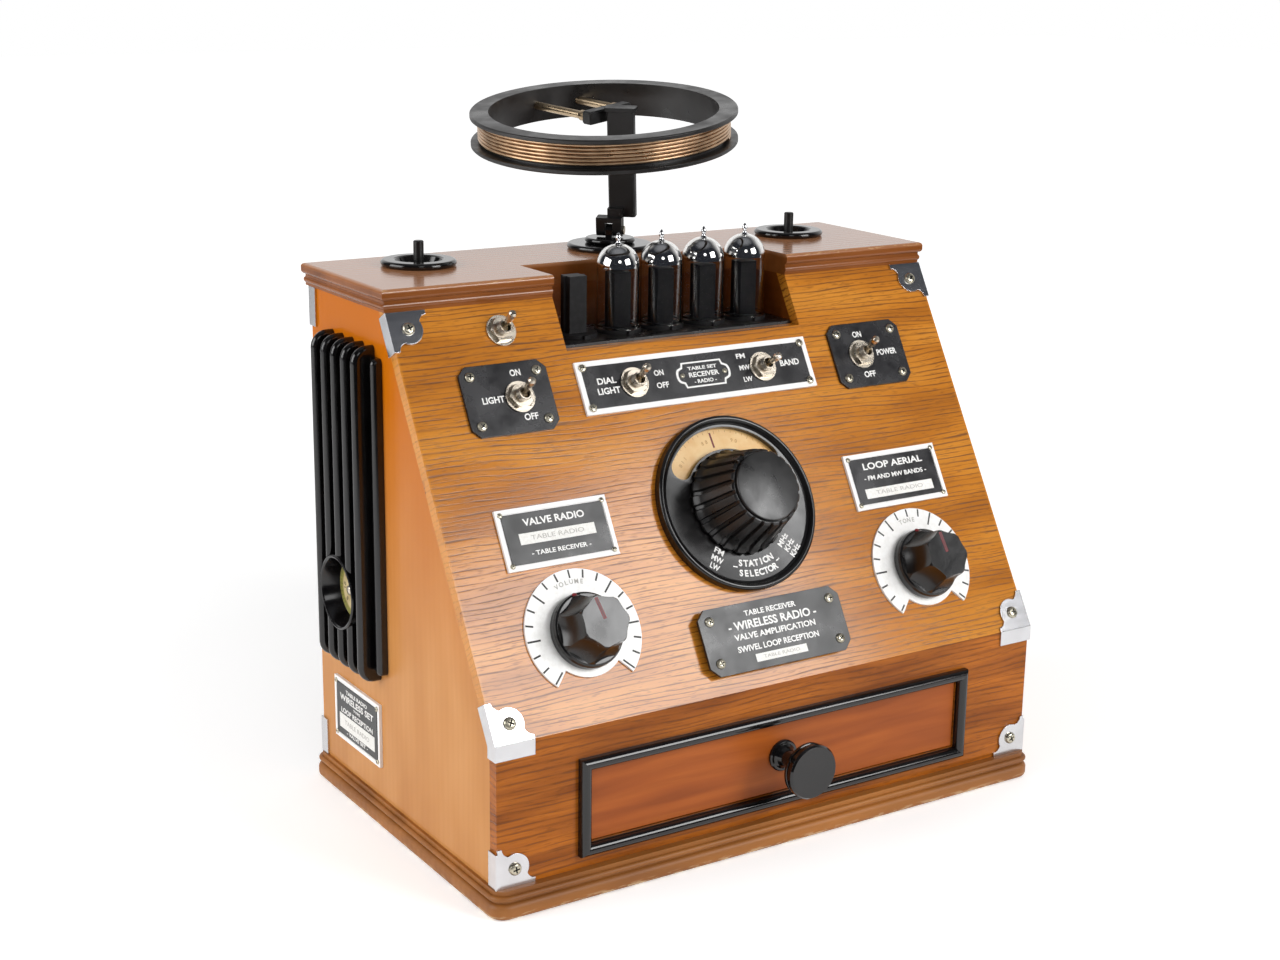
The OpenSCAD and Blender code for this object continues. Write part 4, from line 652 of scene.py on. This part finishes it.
def bandPlateField():
    bm = bmesh.new()
    w, h, b, t = plates["bandW"] / 2, plates["bandH"] / 2, plates["border"], plates["thick"]
    place = onSlope(0, plates["switchS"])
    bar(bm, -w + b, w - b, -h + b, h - b, t - 0.2, t + 0.06, place)
    writeLines(bm, bandWords, place @ shift(0, 0, t + 0.09), 1)
    plaque = place @ shift(plates["plaque"]["x"], plates["plaque"]["y"])
    slab(bm, plaqueOutline(0), t, t + 0.10, plaque, 1)
    slab(bm, plaqueOutline(-plates["plaque"]["line"]), t, t + 0.13, plaque, 0)
    writeLines(bm, plaqueWords, plaque @ shift(0, 0, t + 0.16), 1)
    finishPiece("bandPlateField", bm, "enamelBlack inkWhite", "cabinet")


# Name plates: white rim, enamel field, paper strip and plain words
names = {"x": 98.7, "s": 88.0, "frontSize": (58.0, 28.6), "sideY": 48.0, "sideZ": 45.4,
         "sideSize": (51.0, 32.0), "rim": 2.6, "thick": 1.5, "centreStrip": (0, -10.8, 29.6, 3.8)}
leftWords = (("VALVE RADIO", 0, 7.0, 3.3, 32.0), ("- TABLE RECEIVER -", 0, -7.4, 2.1, 31.0))
rightWords = (("LOOP AERIAL", 0, 7.2, 3.4, 38.0), ("- FM AND MW BANDS -", 0, 1.2, 2.3, 40.0))
sideWords = (("TABLE RADIO", 0, 10.4, 2.0, 24.0), ("WIRELESS SET", 0, 6.6, 3.2, 38.0),
             ("TYPE", 0, 3.3, 1.3, 8.0), ("LOOP RECEPTION", 0, -0.2, 2.6, 36.0),
             ("- VALVE SET -", 0, -11.2, 1.8, 24.0))
centreWords = (("TABLE RECEIVER", 0, 10.7, 2.5, 30.0), ("- WIRELESS RADIO -", 0, 5.4, 3.9, 51.0),
               ("VALVE AMPLIFICATION", 0, 0.1, 2.8, 47.0), ("SWIVEL LOOP RECEPTION", 0, -5.6, 2.8, 47.0))


def namePlateFields():
    bm = bmesh.new()
    rim, t = names["rim"], names["thick"]
    left, right = (onSlope(side * names["x"], names["s"]) for side in (-1, 1))
    # The left and side fields take the enamel with the painted sheen, the right one the plain black
    for place, size, skin, words, strip in (
            (left, names["frontSize"], 0, leftWords, (0, -0.3, 39.5, 5.2)),
            (right, names["frontSize"], 1, rightWords, (0, -6.6, 43.0, 5.0)),
            (onLeft(names["sideY"], names["sideZ"]), names["sideSize"], 0, sideWords, (0, -6.0, 40.0, 7.6))):
        w, h = (length / 2 - rim for length in size)
        bar(bm, -w, w, -h, h, t - 0.3, t + 0.05, place, skin)
        writeLines(bm, words, place @ shift(0, 0, t + 0.08), 2)
        labelStrip(bm, place @ shift(0, 0, t), strip, min(2.4, strip[3] * 0.42), strip[2] * 0.7, 3)
    finishPiece("namePlateFields", bm, "enamelGrey enamelBlack inkWhite paperStrip inkFaint", "cabinet")


def centrePlateWords():
    bm = bmesh.new()
    place = onSlope(0, plates["centreS"], plates["centreTop"])
    writeLines(bm, centreWords, place @ shift(0, 0, printLift), 0)
    labelStrip(bm, place, names["centreStrip"], 1.6, 21, 1, -0.02, 0.08)
    finishPiece("centrePlateWords", bm, "inkWhite paperStrip inkFaint", "cabinet")


switchWords()
bandPlateField()
namePlateFields()
centrePlateWords()
print("plates lettered")

# Volume and tone: printed ticks and red-filled pointers
controls = {"x": 98.5, "s": 41.5, "tickOut": 29.1, "thick": 1.2, "tickIn": 25.2, "longIn": 22.4,
            "tickWide": 0.85, "ticks": 19, "first": 225, "tickStep": 15, "knobTop": 23.0, "wordR": 23.4,
            "wordAt": 93, "longTicks": {"volume": (0, 3, 6, 12, 15, 18), "tone": (3, 7, 11, 15)},
            "rest": {"volume": 101.0, "tone": 95.0},
            "lines": ((1.0, 11.2, 0.85, 0.04), (1.6, 10.8, 0.3, 0.06)),  # start, end, half width, rise
            "dot": (16.75, 7.15), "dotLean": 38,
            "dotShape": ((1.15, -0.4), (1.15, 0.02), (0.8, 0.2), (0, 0.26))}


def scaleMarks():
    bm = bmesh.new()
    half = controls["tickWide"] / 2
    for side, name in ((-1, "volume"), (1, "tone")):
        place = onSlope(side * controls["x"], controls["s"], controls["thick"])
        for k in range(controls["ticks"]):
            inner = controls["longIn" if k in controls["longTicks"][name] else "tickIn"]
            at = place @ spin(controls["first"] - controls["tickStep"] * k)
            bar(bm, inner, controls["tickOut"], -half, half, -0.2, 0.05, at, 0)
        writeRound(bm, name.upper(), 2.2, place @ shift(0, 0, printLift), controls["wordR"],
                   controls["wordAt"], 6.6, 1, 0.03)
    finishPiece("scaleMarks", bm, "inkBlack inkFaint", "cabinet")


def knobPointers():
    out, up = controls["dot"]
    for side, name in ((-1, "volume"), (1, "tone")):
        bm = bmesh.new()
        place = onSlope(side * controls["x"], controls["s"]) @ spin(controls["rest"][name])
        top = controls["knobTop"]
        for skin, (start, end, half, rise) in enumerate(controls["lines"]):
            bar(bm, start, end, -half, half, top - 0.2, top + rise, place, skin)
        lean = place @ shift(out, 0, up) @ Matrix.Rotation(radians(controls["dotLean"]), 4, "Y")
        lathe(bm, controls["dotShape"], lean, 20, 0)
        finishPiece(name + "Pointer", bm, "redFiller redCore", name)


scaleMarks()
knobPointers()

# Tuning: bezel with a thin bead, fluted knob, words on the dish and a faint scale on the disc
# behind the window
tuning = {"s": 88.0, "dish": 2.5, "disc": -0.6, "cap": 2.9, "bezelR": 43.4, "beadR": 1.5, "beadTop": 5.0,
          "bore": 5.0, "window": (27.0, 38.0), "windowHalf": 51, "flutes": 22,
          "ticks": 72, "tickOut": 37.4, "longTick": 1.8, "shortTick": 1.0, "tickHalf": 0.11,
          "numbers": 12, "numberR": 32.6, "numberAt": 102, "lowest": 88, "hairline": (29.0, 36.6, 94),
          "cove": ((3.2, 0.9), (3.7, 0.35), (4.2, 0.08), (4.8, 0)),     # inside the rim, over the dish
          # Radius, height and depth of the flutes; the face in it has none
          "knob": ((25.2, 3.2, 0.5), (25.8, 3.8, 0.9), (25.7, 5.0, 1.3), (24.4, 6.6, 1.6), (23.6, 8.6, 1.5),
                   (19.1, 27.4, 1.3), (18.7, 28.5, 0.9), (17.9, 29.2, 0.3)),
          "face": ((17.4, 29.3, 0), (17.1, 28.8, 0), (16.8, 28.8, 0), (16.8, 30.5, 0), (16.6, 30.85, 0),
                   (16.1, 31.0, 0), (0, 31.0, 0)),
          # Where in its share of the turn each point of a flute lies, and how deep
          "flute": ((0.0, 1.0), (0.12, 1.0), (0.16, 0.4), (0.21, 0.0), (0.5, -0.08), (0.79, 0.0),
                    (0.84, 0.4), (0.88, 1.0))}
dialWordPlaces = (("FM", -17.6, 66.1, -128, 5.2), ("MW", -19.9, 62.7, -128, 6.4),
                  ("LW", -22.4, 59.4, -128, 5.2), ("MHz", 19.7, 66.1, -47, 7.8),
                  ("KHz", 22.5, 63.2, -47, 7.4), ("KHz", 25.1, 60.2, -47, 7.4),
                  ("-", -10.9, 58.0, -108, 2.4), ("-", 13.5, 57.7, -65, 2.4))


# Takes one solid out of another
def cutOut(bm, cutter):
    pair = []
    for part in (bm, cutter):
        mesh = bpy.data.meshes.new("cutting")
        bmesh.ops.recalc_face_normals(part, faces=part.faces)
        part.to_mesh(mesh)
        part.free()
        pair.append(bpy.data.objects.new("cutting", mesh))
        scene.collection.objects.link(pair[-1])
    cut = pair[0].modifiers.new("cut", "BOOLEAN")
    cut.operation, cut.solver, cut.object = "DIFFERENCE", "EXACT", pair[1]
    result = bmesh.new()
    result.from_mesh(pair[0].evaluated_get(bpy.context.evaluated_depsgraph_get()).to_mesh())
    for obj in pair:
        bpy.data.objects.remove(obj)
    return result


def bezel():
    r, bead, top, dish = tuning["bezelR"], tuning["beadR"], tuning["beadTop"], tuning["dish"]
    rim = arcOf(r - bead, top - bead, bead, range(0, 121, 15))
    cove = [(r - inward, dish + up) for inward, up in tuning["cove"]]
    solid, window = bmesh.new(), bmesh.new()
    flat = Matrix.Identity(4)
    bore = tuning["bore"]
    lathe(solid, [(bore, 0), (r, 0)] + rim + cove + [(bore, dish), (bore, 0)], flat, 128)
    bmesh.ops.remove_doubles(solid, verts=solid.verts, dist=0.001)
    low, high = tuning["window"]
    mid, end = (low + high) / 2, (high - low) / 2
    start, stop = 90 - tuning["windowHalf"], 90 + tuning["windowHalf"]
    # Outer edge, round end, inner edge back, round end
    ends = [(mid * cos(radians(at)), mid * sin(radians(at)), end) for at in (stop, start)]
    outline = arcOf(0, 0, high, range(start, stop + 1, 3))
    outline += arcOf(*ends[0], range(stop + 15, stop + 180, 15))
    outline += arcOf(0, 0, low, range(stop, start - 1, -3))
    outline += arcOf(*ends[1], range(start + 195, start + 360, 15))
    slab(window, outline, -1, dish + 1, flat)
    bm = cutOut(solid, window)
    bm.transform(onSlope(0, tuning["s"]))
    finishPiece("bezel", bm, "phenolicBezel", "cabinet", ["tuning_escutcheon"], 35)


def flutedKnob():
    bm = bmesh.new()
    place = onSlope(0, tuning["s"])
    around = [(2 * pi * (k + part) / tuning["flutes"], share)
              for k in range(tuning["flutes"]) for part, share in tuning["flute"]]
    rings = [ringOf(bm, [(0, 0)], tuning["knob"][0][1], place)]
    for r, z, deep in tuning["knob"] + tuning["face"]:
        points = [((r - deep * share) * cos(a), (r - deep * share) * sin(a)) for a, share in around]
        rings.append(ringOf(bm, points if r else points[:1], z, place))
    joinRings(bm, rings)
    finishPiece("flutedKnob", bm, "phenolicGrip", "tuning", ["tuning_knob"], 28)


def dialWords():
    bm = bmesh.new()
    high = tuning["dish"] + printLift
    for words, x, s, angle, width in dialWordPlaces:
        write(bm, words, tuning["cap"], onSlope(x, s, high) @ spin(angle + 90), 0, width)
    centre = onSlope(0.6, tuning["s"], high)
    for words, r, step in (("STATION", 30.3, 5.6), ("SELECTOR", 35.2, 4.7)):
        writeRound(bm, words, 3.1, centre, r, -89, step, 0, 0.05)
    finishPiece("dialWords", bm, "inkWhite", "cabinet")


def dialPrint():
    bm = bmesh.new()
    centre = onSlope(0, tuning["s"], tuning["disc"])
    outer, half = tuning["tickOut"], tuning["tickHalf"]
    for k in range(tuning["ticks"]):
        inner = outer - tuning["shortTick" if k % 6 else "longTick"]
        bar(bm, inner, outer, -half, half, -0.1, 0.05, centre @ spin(360 / tuning["ticks"] * k), 0)
    for k in range(tuning["numbers"]):
        writeRound(bm, str(tuning["lowest"] + 2 * k), 1.9, centre @ shift(0, 0, printLift), tuning["numberR"],
                   tuning["numberAt"] - 360 / tuning["numbers"] * k, 4.2, 0, 0.0)
    start, end, angle = tuning["hairline"]
    bar(bm, start, end, -0.5, 0.5, -0.1, 0.06, centre @ spin(angle), 1)
    finishPiece("dialPrint", bm, "inkBrown redFiller", "tuning")


bezel()
flutedKnob()
dialWords()
dialPrint()
print("tuning dressed")

# Domed screws with a cross recess that is sunk into the head, and the recess painted near black as painted
# shade
screws = {"turn": 17, "turnStep": 41, "sink": 0.25, "arm": 0.56, "armHalf": 0.12, "sides": 24,
          "inset": 8.6, "cornerLift": 1.0, "cornerR": 3.0, "endGap": 0.4,
          # The plate's middle on the slope, the screws' ways from it, lift and radius
          "plates": ((plates["sideX"], plates["switchS"], (-17.4, 17.4), 11.8, plates["thick"], 2.4),
                     (63.4, plates["switchS"], (0,), 9.9, 1.55, 2.0),
                     (34.8, plates["centreS"], (0,), 10, plates["centreTop"], 2.4),
                     (names["x"], names["s"], (-26.6, 26.6), 11.9, names["thick"], 1.25)),
          "plaque": (1.4, 1.6, 1.25), "sidePlate": (23.1, 13.6, 1.25)}


def crossHead(bm, place, r, turn, rise=0.55):
    high, at = r * rise, place @ spin(turn)
    long, half = r * screws["arm"], r * screws["armHalf"]
    mid = (long + half) / 2
    quarter = [(long, 0), (long, half), (mid, half), (half, half), (half, mid), (half, long)]
    cross = []
    for k in range(4):
        cross += quarter
        quarter = [(-y, x) for x, y in quarter]
    profile = [(r, 0), (r, high * 0.3), (r * 0.95, high * 0.55), (r * 0.84, high * 0.8),
               (r * 0.70, high * 0.95)]
    rings = [ringOf(bm, circleOf(pr, screws["sides"]), pz, at) for pr, pz in profile]
    mouth = ringOf(bm, cross, high, at)
    joinRings(bm, rings + [mouth], 0)
    sunk = ringOf(bm, [(x * 0.8, y * 0.8) for x, y in cross], high * screws["sink"], at)
    # The recess takes the near-black lacquer as painted shade
    joinRings(bm, [mouth, sunk, ringOf(bm, [(0, 0)], high * screws["sink"] * 0.6, at)], 1)
    joinRings(bm, [ringOf(bm, [(0, 0)], 0, at), rings[0]], 0)


def crossScrews():
    bm = bmesh.new()
    inset, lift, c, p = screws["inset"], screws["cornerLift"], cabinet, plates["plaque"]
    x = c["wide"] / 2 - inset
    inward, up, small = screws["plaque"]
    places = []
    for side in (-1, 1):
        corners = (onSlope(side * x, c["slopeLong"] - screws["endGap"] - inset, lift),
                   onSlope(side * x, inset, lift), onFront(side * x, c["base"] + inset, lift),
                   onBack(side * x, c["base"] + inset, lift), onBack(side * x, c["top"] - inset, lift))
        places += [(place, screws["cornerR"]) for place in corners]
        for at, s, across, along, h, r in screws["plates"]:
            places += [(onSlope(side * at + dx, s + ds, h), r) for dx in across for ds in (-along, along)]
        places += [(onSlope(p["x"] + side * (p["w"] / 2 - inward), plates["switchS"] + p["y"], up), small)]
    across, along, r = screws["sidePlate"]
    places += [(onLeft(names["sideY"] + dy, names["sideZ"] + dz, names["thick"]), r)
               for dy in (-across, across) for dz in (-along, along)]
    for k, (place, r) in enumerate(places):
        crossHead(bm, place, r, screws["turn"] + screws["turnStep"] * k)
    finishPiece("crossScrews", bm, "zincScrew pointerLacquer", "cabinet", ["face_screws"], 32)


crossScrews()
print("screws driven")

# Rubber grommet over the cord gland at the back
grommet = {"x": -124.5, "z": 33.5,
           "profile": ((3.45, 0.3), (3.45, 2.6), (4.0, 3.2), (6.1, 3.2), (6.75, 2.6), (6.75, 0))}


def cordGrommet():
    bm = bmesh.new()
    lathe(bm, grommet["profile"], onBack(grommet["x"], grommet["z"]), 48)
    finishPiece("cordGrommet", bm, "phenolicDeck", "cabinet", smooth=40)


cordGrommet()

# Silvered lining of each valve's dome, and the drawn pip over it
valves = {"x": (-25, 0, 25, 50), "y": 20.0, "foot": 234.1, "inside": 9.62, "straight": 30.4,
          "silver": 29.6, "outside": 10.5, "wall": 0.8, "wallSteps": 6,
          "footRing": ((11.0, 0.0), (11.2, 0.3), (11.2, 1.0), (10.9, 1.4), (10.5, 1.6)),
          "pip": ((1.7, 40.7), (1.0, 41.6), (0.95, 42.5), (1.35, 43.4), (1.3, 44.3), (0.8, 45.2),
                  (0.35, 46.0), (0, 46.2))}
sockets = [upright(x, valves["y"], valves["foot"]) for x in valves["x"]]


def getterDomes():
    bm = bmesh.new()
    q = valves["inside"]
    for place in sockets:
        lathe(bm, [(q, valves["silver"])] + arcOf(0, valves["straight"], q, range(0, 91, 5)), place)
        lathe(bm, valves["pip"], place, 24)
    finishPiece("getterDomes", bm, "getterSilver", "cabinet", smooth=60)


# Blown envelopes, a foot ring below and a round shoulder above
def valveEnvelopes():
    bm = bmesh.new()
    r, q, top = valves["outside"], valves["outside"] - valves["wall"], valves["straight"]
    steps, ring = valves["wallSteps"], list(valves["footRing"])
    low = ring[-1][1]
    wall = [(r, low + (top - low) * k / steps) for k in range(1, steps)]
    back = [(q, top - top * k / steps) for k in range(1, steps + 1)]
    domes = arcOf(0, top, r, range(0, 91, 5)) + arcOf(0, top, q, range(90, -1, -5))
    for place in sockets:
        lathe(bm, ring + wall + domes + back + ring[:1], place, 96)
    bmesh.ops.remove_doubles(bm, verts=bm.verts, dist=0.001 * mm)
    glasses = ["valve_glass_%d" % k for k in range(1, 5)]
    finishPiece("valveEnvelopes", bm, "drawnClearGlass", "cabinet", glasses, 35)


getterDomes()
valveEnvelopes()
print("valves silvered")

# Thread on the switch collars, drawn coarser than the real 0.5 mm pitch so that it shows
collars = {"x": (-99.6, -37.5, 37.5, 99.6), "mainS": 186.5, "from": 3.05, "turns": 4, "pitch": 0.8,
           "r": 3.05, "crest": 3.38, "crestAt": (0.3, 0.5)}


def collarThreads():
    bm = bmesh.new()
    places = [onSlope(x, plates["switchS"], plates["thick"]) for x in collars["x"]]
    r, crest, (low, high) = collars["r"], collars["crest"], collars["crestAt"]
    profile = []
    for k in range(collars["turns"]):
        z = collars["from"] + k * collars["pitch"]
        profile += [(r, z), (crest, z + low), (crest, z + high)]
    profile += [(r, collars["from"] + collars["turns"] * collars["pitch"])]
    for place in [onSlope(collars["x"][0], collars["mainS"])] + places:
        lathe(bm, profile, place, 32)
    finishPiece("collarThreads", bm, "nickelSwitch", "cabinet", smooth=30)


collarThreads()

# Gauge: printed face, ring and hub in the mouth of the cup
gauge = {"y": 46.0, "z": 113.5, "face": 3.0, "r": 13.9, "ring": 10.6, "from": 225, "span": 270, "ticks": 30,
         "tickOut": 13.4, "shortIn": 11.6, "longIn": 10.9, "tickHalf": 0.16, "numbers": 6,
         "numberR": 8.2, "numberTurn": 0.01,    # so that the one at 0 degrees never counts as below centre
         "hubLift": 1.5}


def gaugeFace():
    bm = bmesh.new()
    place = onLeft(gauge["y"], gauge["z"], gauge["face"])
    lathe(bm, [(0.9, 0.03), (gauge["ring"], 0.03)], place, 64, 0)
    lathe(bm, [(gauge["ring"], 0.03), (gauge["ring"], 0.12), (gauge["r"], 0.12)], place, 64, 1)
    half = gauge["tickHalf"]
    for k in range(gauge["ticks"] + 1):
        at = place @ spin(gauge["from"] - gauge["span"] / gauge["ticks"] * k)
        bar(bm, gauge["shortIn" if k % 5 else "longIn"], gauge["tickOut"], -half, half, 0.08, 0.16, at, 2)
    for k in range(gauge["numbers"] + 1):
        writeRound(bm, str(10 * k), 2.2, place @ shift(0, 0, 0.06), gauge["numberR"],
                   gauge["from"] - gauge["span"] / gauge["numbers"] * k + gauge["numberTurn"], 14, 2, 0.02)
    finishPiece("gaugeFace", bm, "gaugeCream gaugeBand pointerLacquer", "cabinet")
    hub = bmesh.new()
    top = onLeft(gauge["y"], gauge["z"], gauge["face"] + gauge["hubLift"])
    lathe(hub, [(2.4, 0.0), (2.3, 0.5), (1.5, 0.9), (0, 1.0)], top, 32)
    finishPiece("gaugeHub", hub, "nickelSwitch", "needle", smooth=60)


gaugeFace()
print("gauge faced")

# Aerial winding: six turns of round wire side by side on the spool, as one helix
aerial = {"y": 68.0, "pinZ": 274.0, "swivel": -44.0, "tilt": 8.3, "centre": (1.0, -12.5, 57.0), "r": 61.65,
          "wire": 1.72, "turns": 6, "depth": 10.7, "rings": 96, "sides": 10}


# The tilting head's own frame, in millimetres from its knuckle pin
def onHead(x, y, z):
    tilt = Matrix.Rotation(radians(aerial["tilt"]), 4, "X")
    pin = Matrix.Translation((0, aerial["y"] * mm, aerial["pinZ"] * mm)) @ spin(aerial["swivel"]) @ tilt
    return pin @ Matrix.Scale(mm, 4) @ shift(x, y, z)


def windAerial():
    bm = bmesh.new()
    place = onHead(*aerial["centre"])
    sides, half = aerial["sides"], aerial["wire"] / 2
    pitch = aerial["depth"] / aerial["turns"]
    wire = arcOf(aerial["r"], 0, half, [360 / sides * k for k in range(sides)])
    rows = []
    for i in range(aerial["turns"] * aerial["rings"] + 1):
        a = 2 * pi * i / aerial["rings"]
        z = pitch * (i / aerial["rings"] - aerial["turns"] / 2)
        rows.append([bm.verts.new(place @ Vector((r * cos(a), r * sin(a), z + rise))) for r, rise in wire])
    joinRings(bm, rows)
    bm.faces.new(rows[0][::-1])
    bm.faces.new(rows[-1])
    finishPiece("aerialTurns", bm, "enamelledWire", "aerial_head", ["aerial_winding"], 50)


# Crossbar on the arm and the two rods that carry the spool
rods = {"at": (-9.1, 2.9), "turn": 57, "pitch": 22.5, "over": 3.4, "barDeep": 6.4, "barHigh": 6.6,
        "soft": 0.7, "r": 2.0, "ferruleR": 2.7, "ferruleLong": 4.0, "spoolBore": 113.5, "into": 1.6,
        "sunk": 0.2}


# How long a rod is from the crossbar to just inside the spool's bore
def rodReach(along):
    turn = radians(rods["turn"])
    x = rods["at"][0] + along * cos(turn) - aerial["centre"][0]
    y = rods["at"][1] + along * sin(turn) - aerial["centre"][1]
    ahead = y * cos(turn) - x * sin(turn)
    return (ahead ** 2 - x * x - y * y + (rods["spoolBore"] / 2 + rods["into"]) ** 2) ** 0.5 - ahead


def crossbarAndRods():
    bm = bmesh.new()
    place = onHead(rods["at"][0], rods["at"][1], aerial["centre"][2]) @ spin(rods["turn"])
    deep, high = rods["barDeep"] / 2, rods["barHigh"] / 2
    bar(bm, -rods["over"], rods["pitch"] + rods["over"], -deep, deep, -high, high, place)
    bmesh.ops.bevel(bm, geom=bm.edges[:], offset=rods["soft"] * mm, segments=3, affect="EDGES")
    r, f, long = rods["r"], rods["ferruleR"], rods["ferruleLong"]
    for along in (0, rods["pitch"]):
        rod = place @ shift(along, deep - rods["sunk"]) @ Matrix.Rotation(-pi / 2, 4, "X")
        reach = rodReach(along) - deep + rods["sunk"]
        lathe(bm, [(0, 0), (f, 0), (f, long - 0.5), (f - 0.15, long - 0.15), (r + 0.1, long), (r, long + 0.1),
                   (r, reach - 0.1), (0, reach - 0.1)], rod, 40, 1)
    finishPiece("crossbarAndRods", bm, "absArm champagneRod", "aerial_head", ["aerial_rods"], 35)


windAerial()
crossbarAndRods()
print("aerial wound")
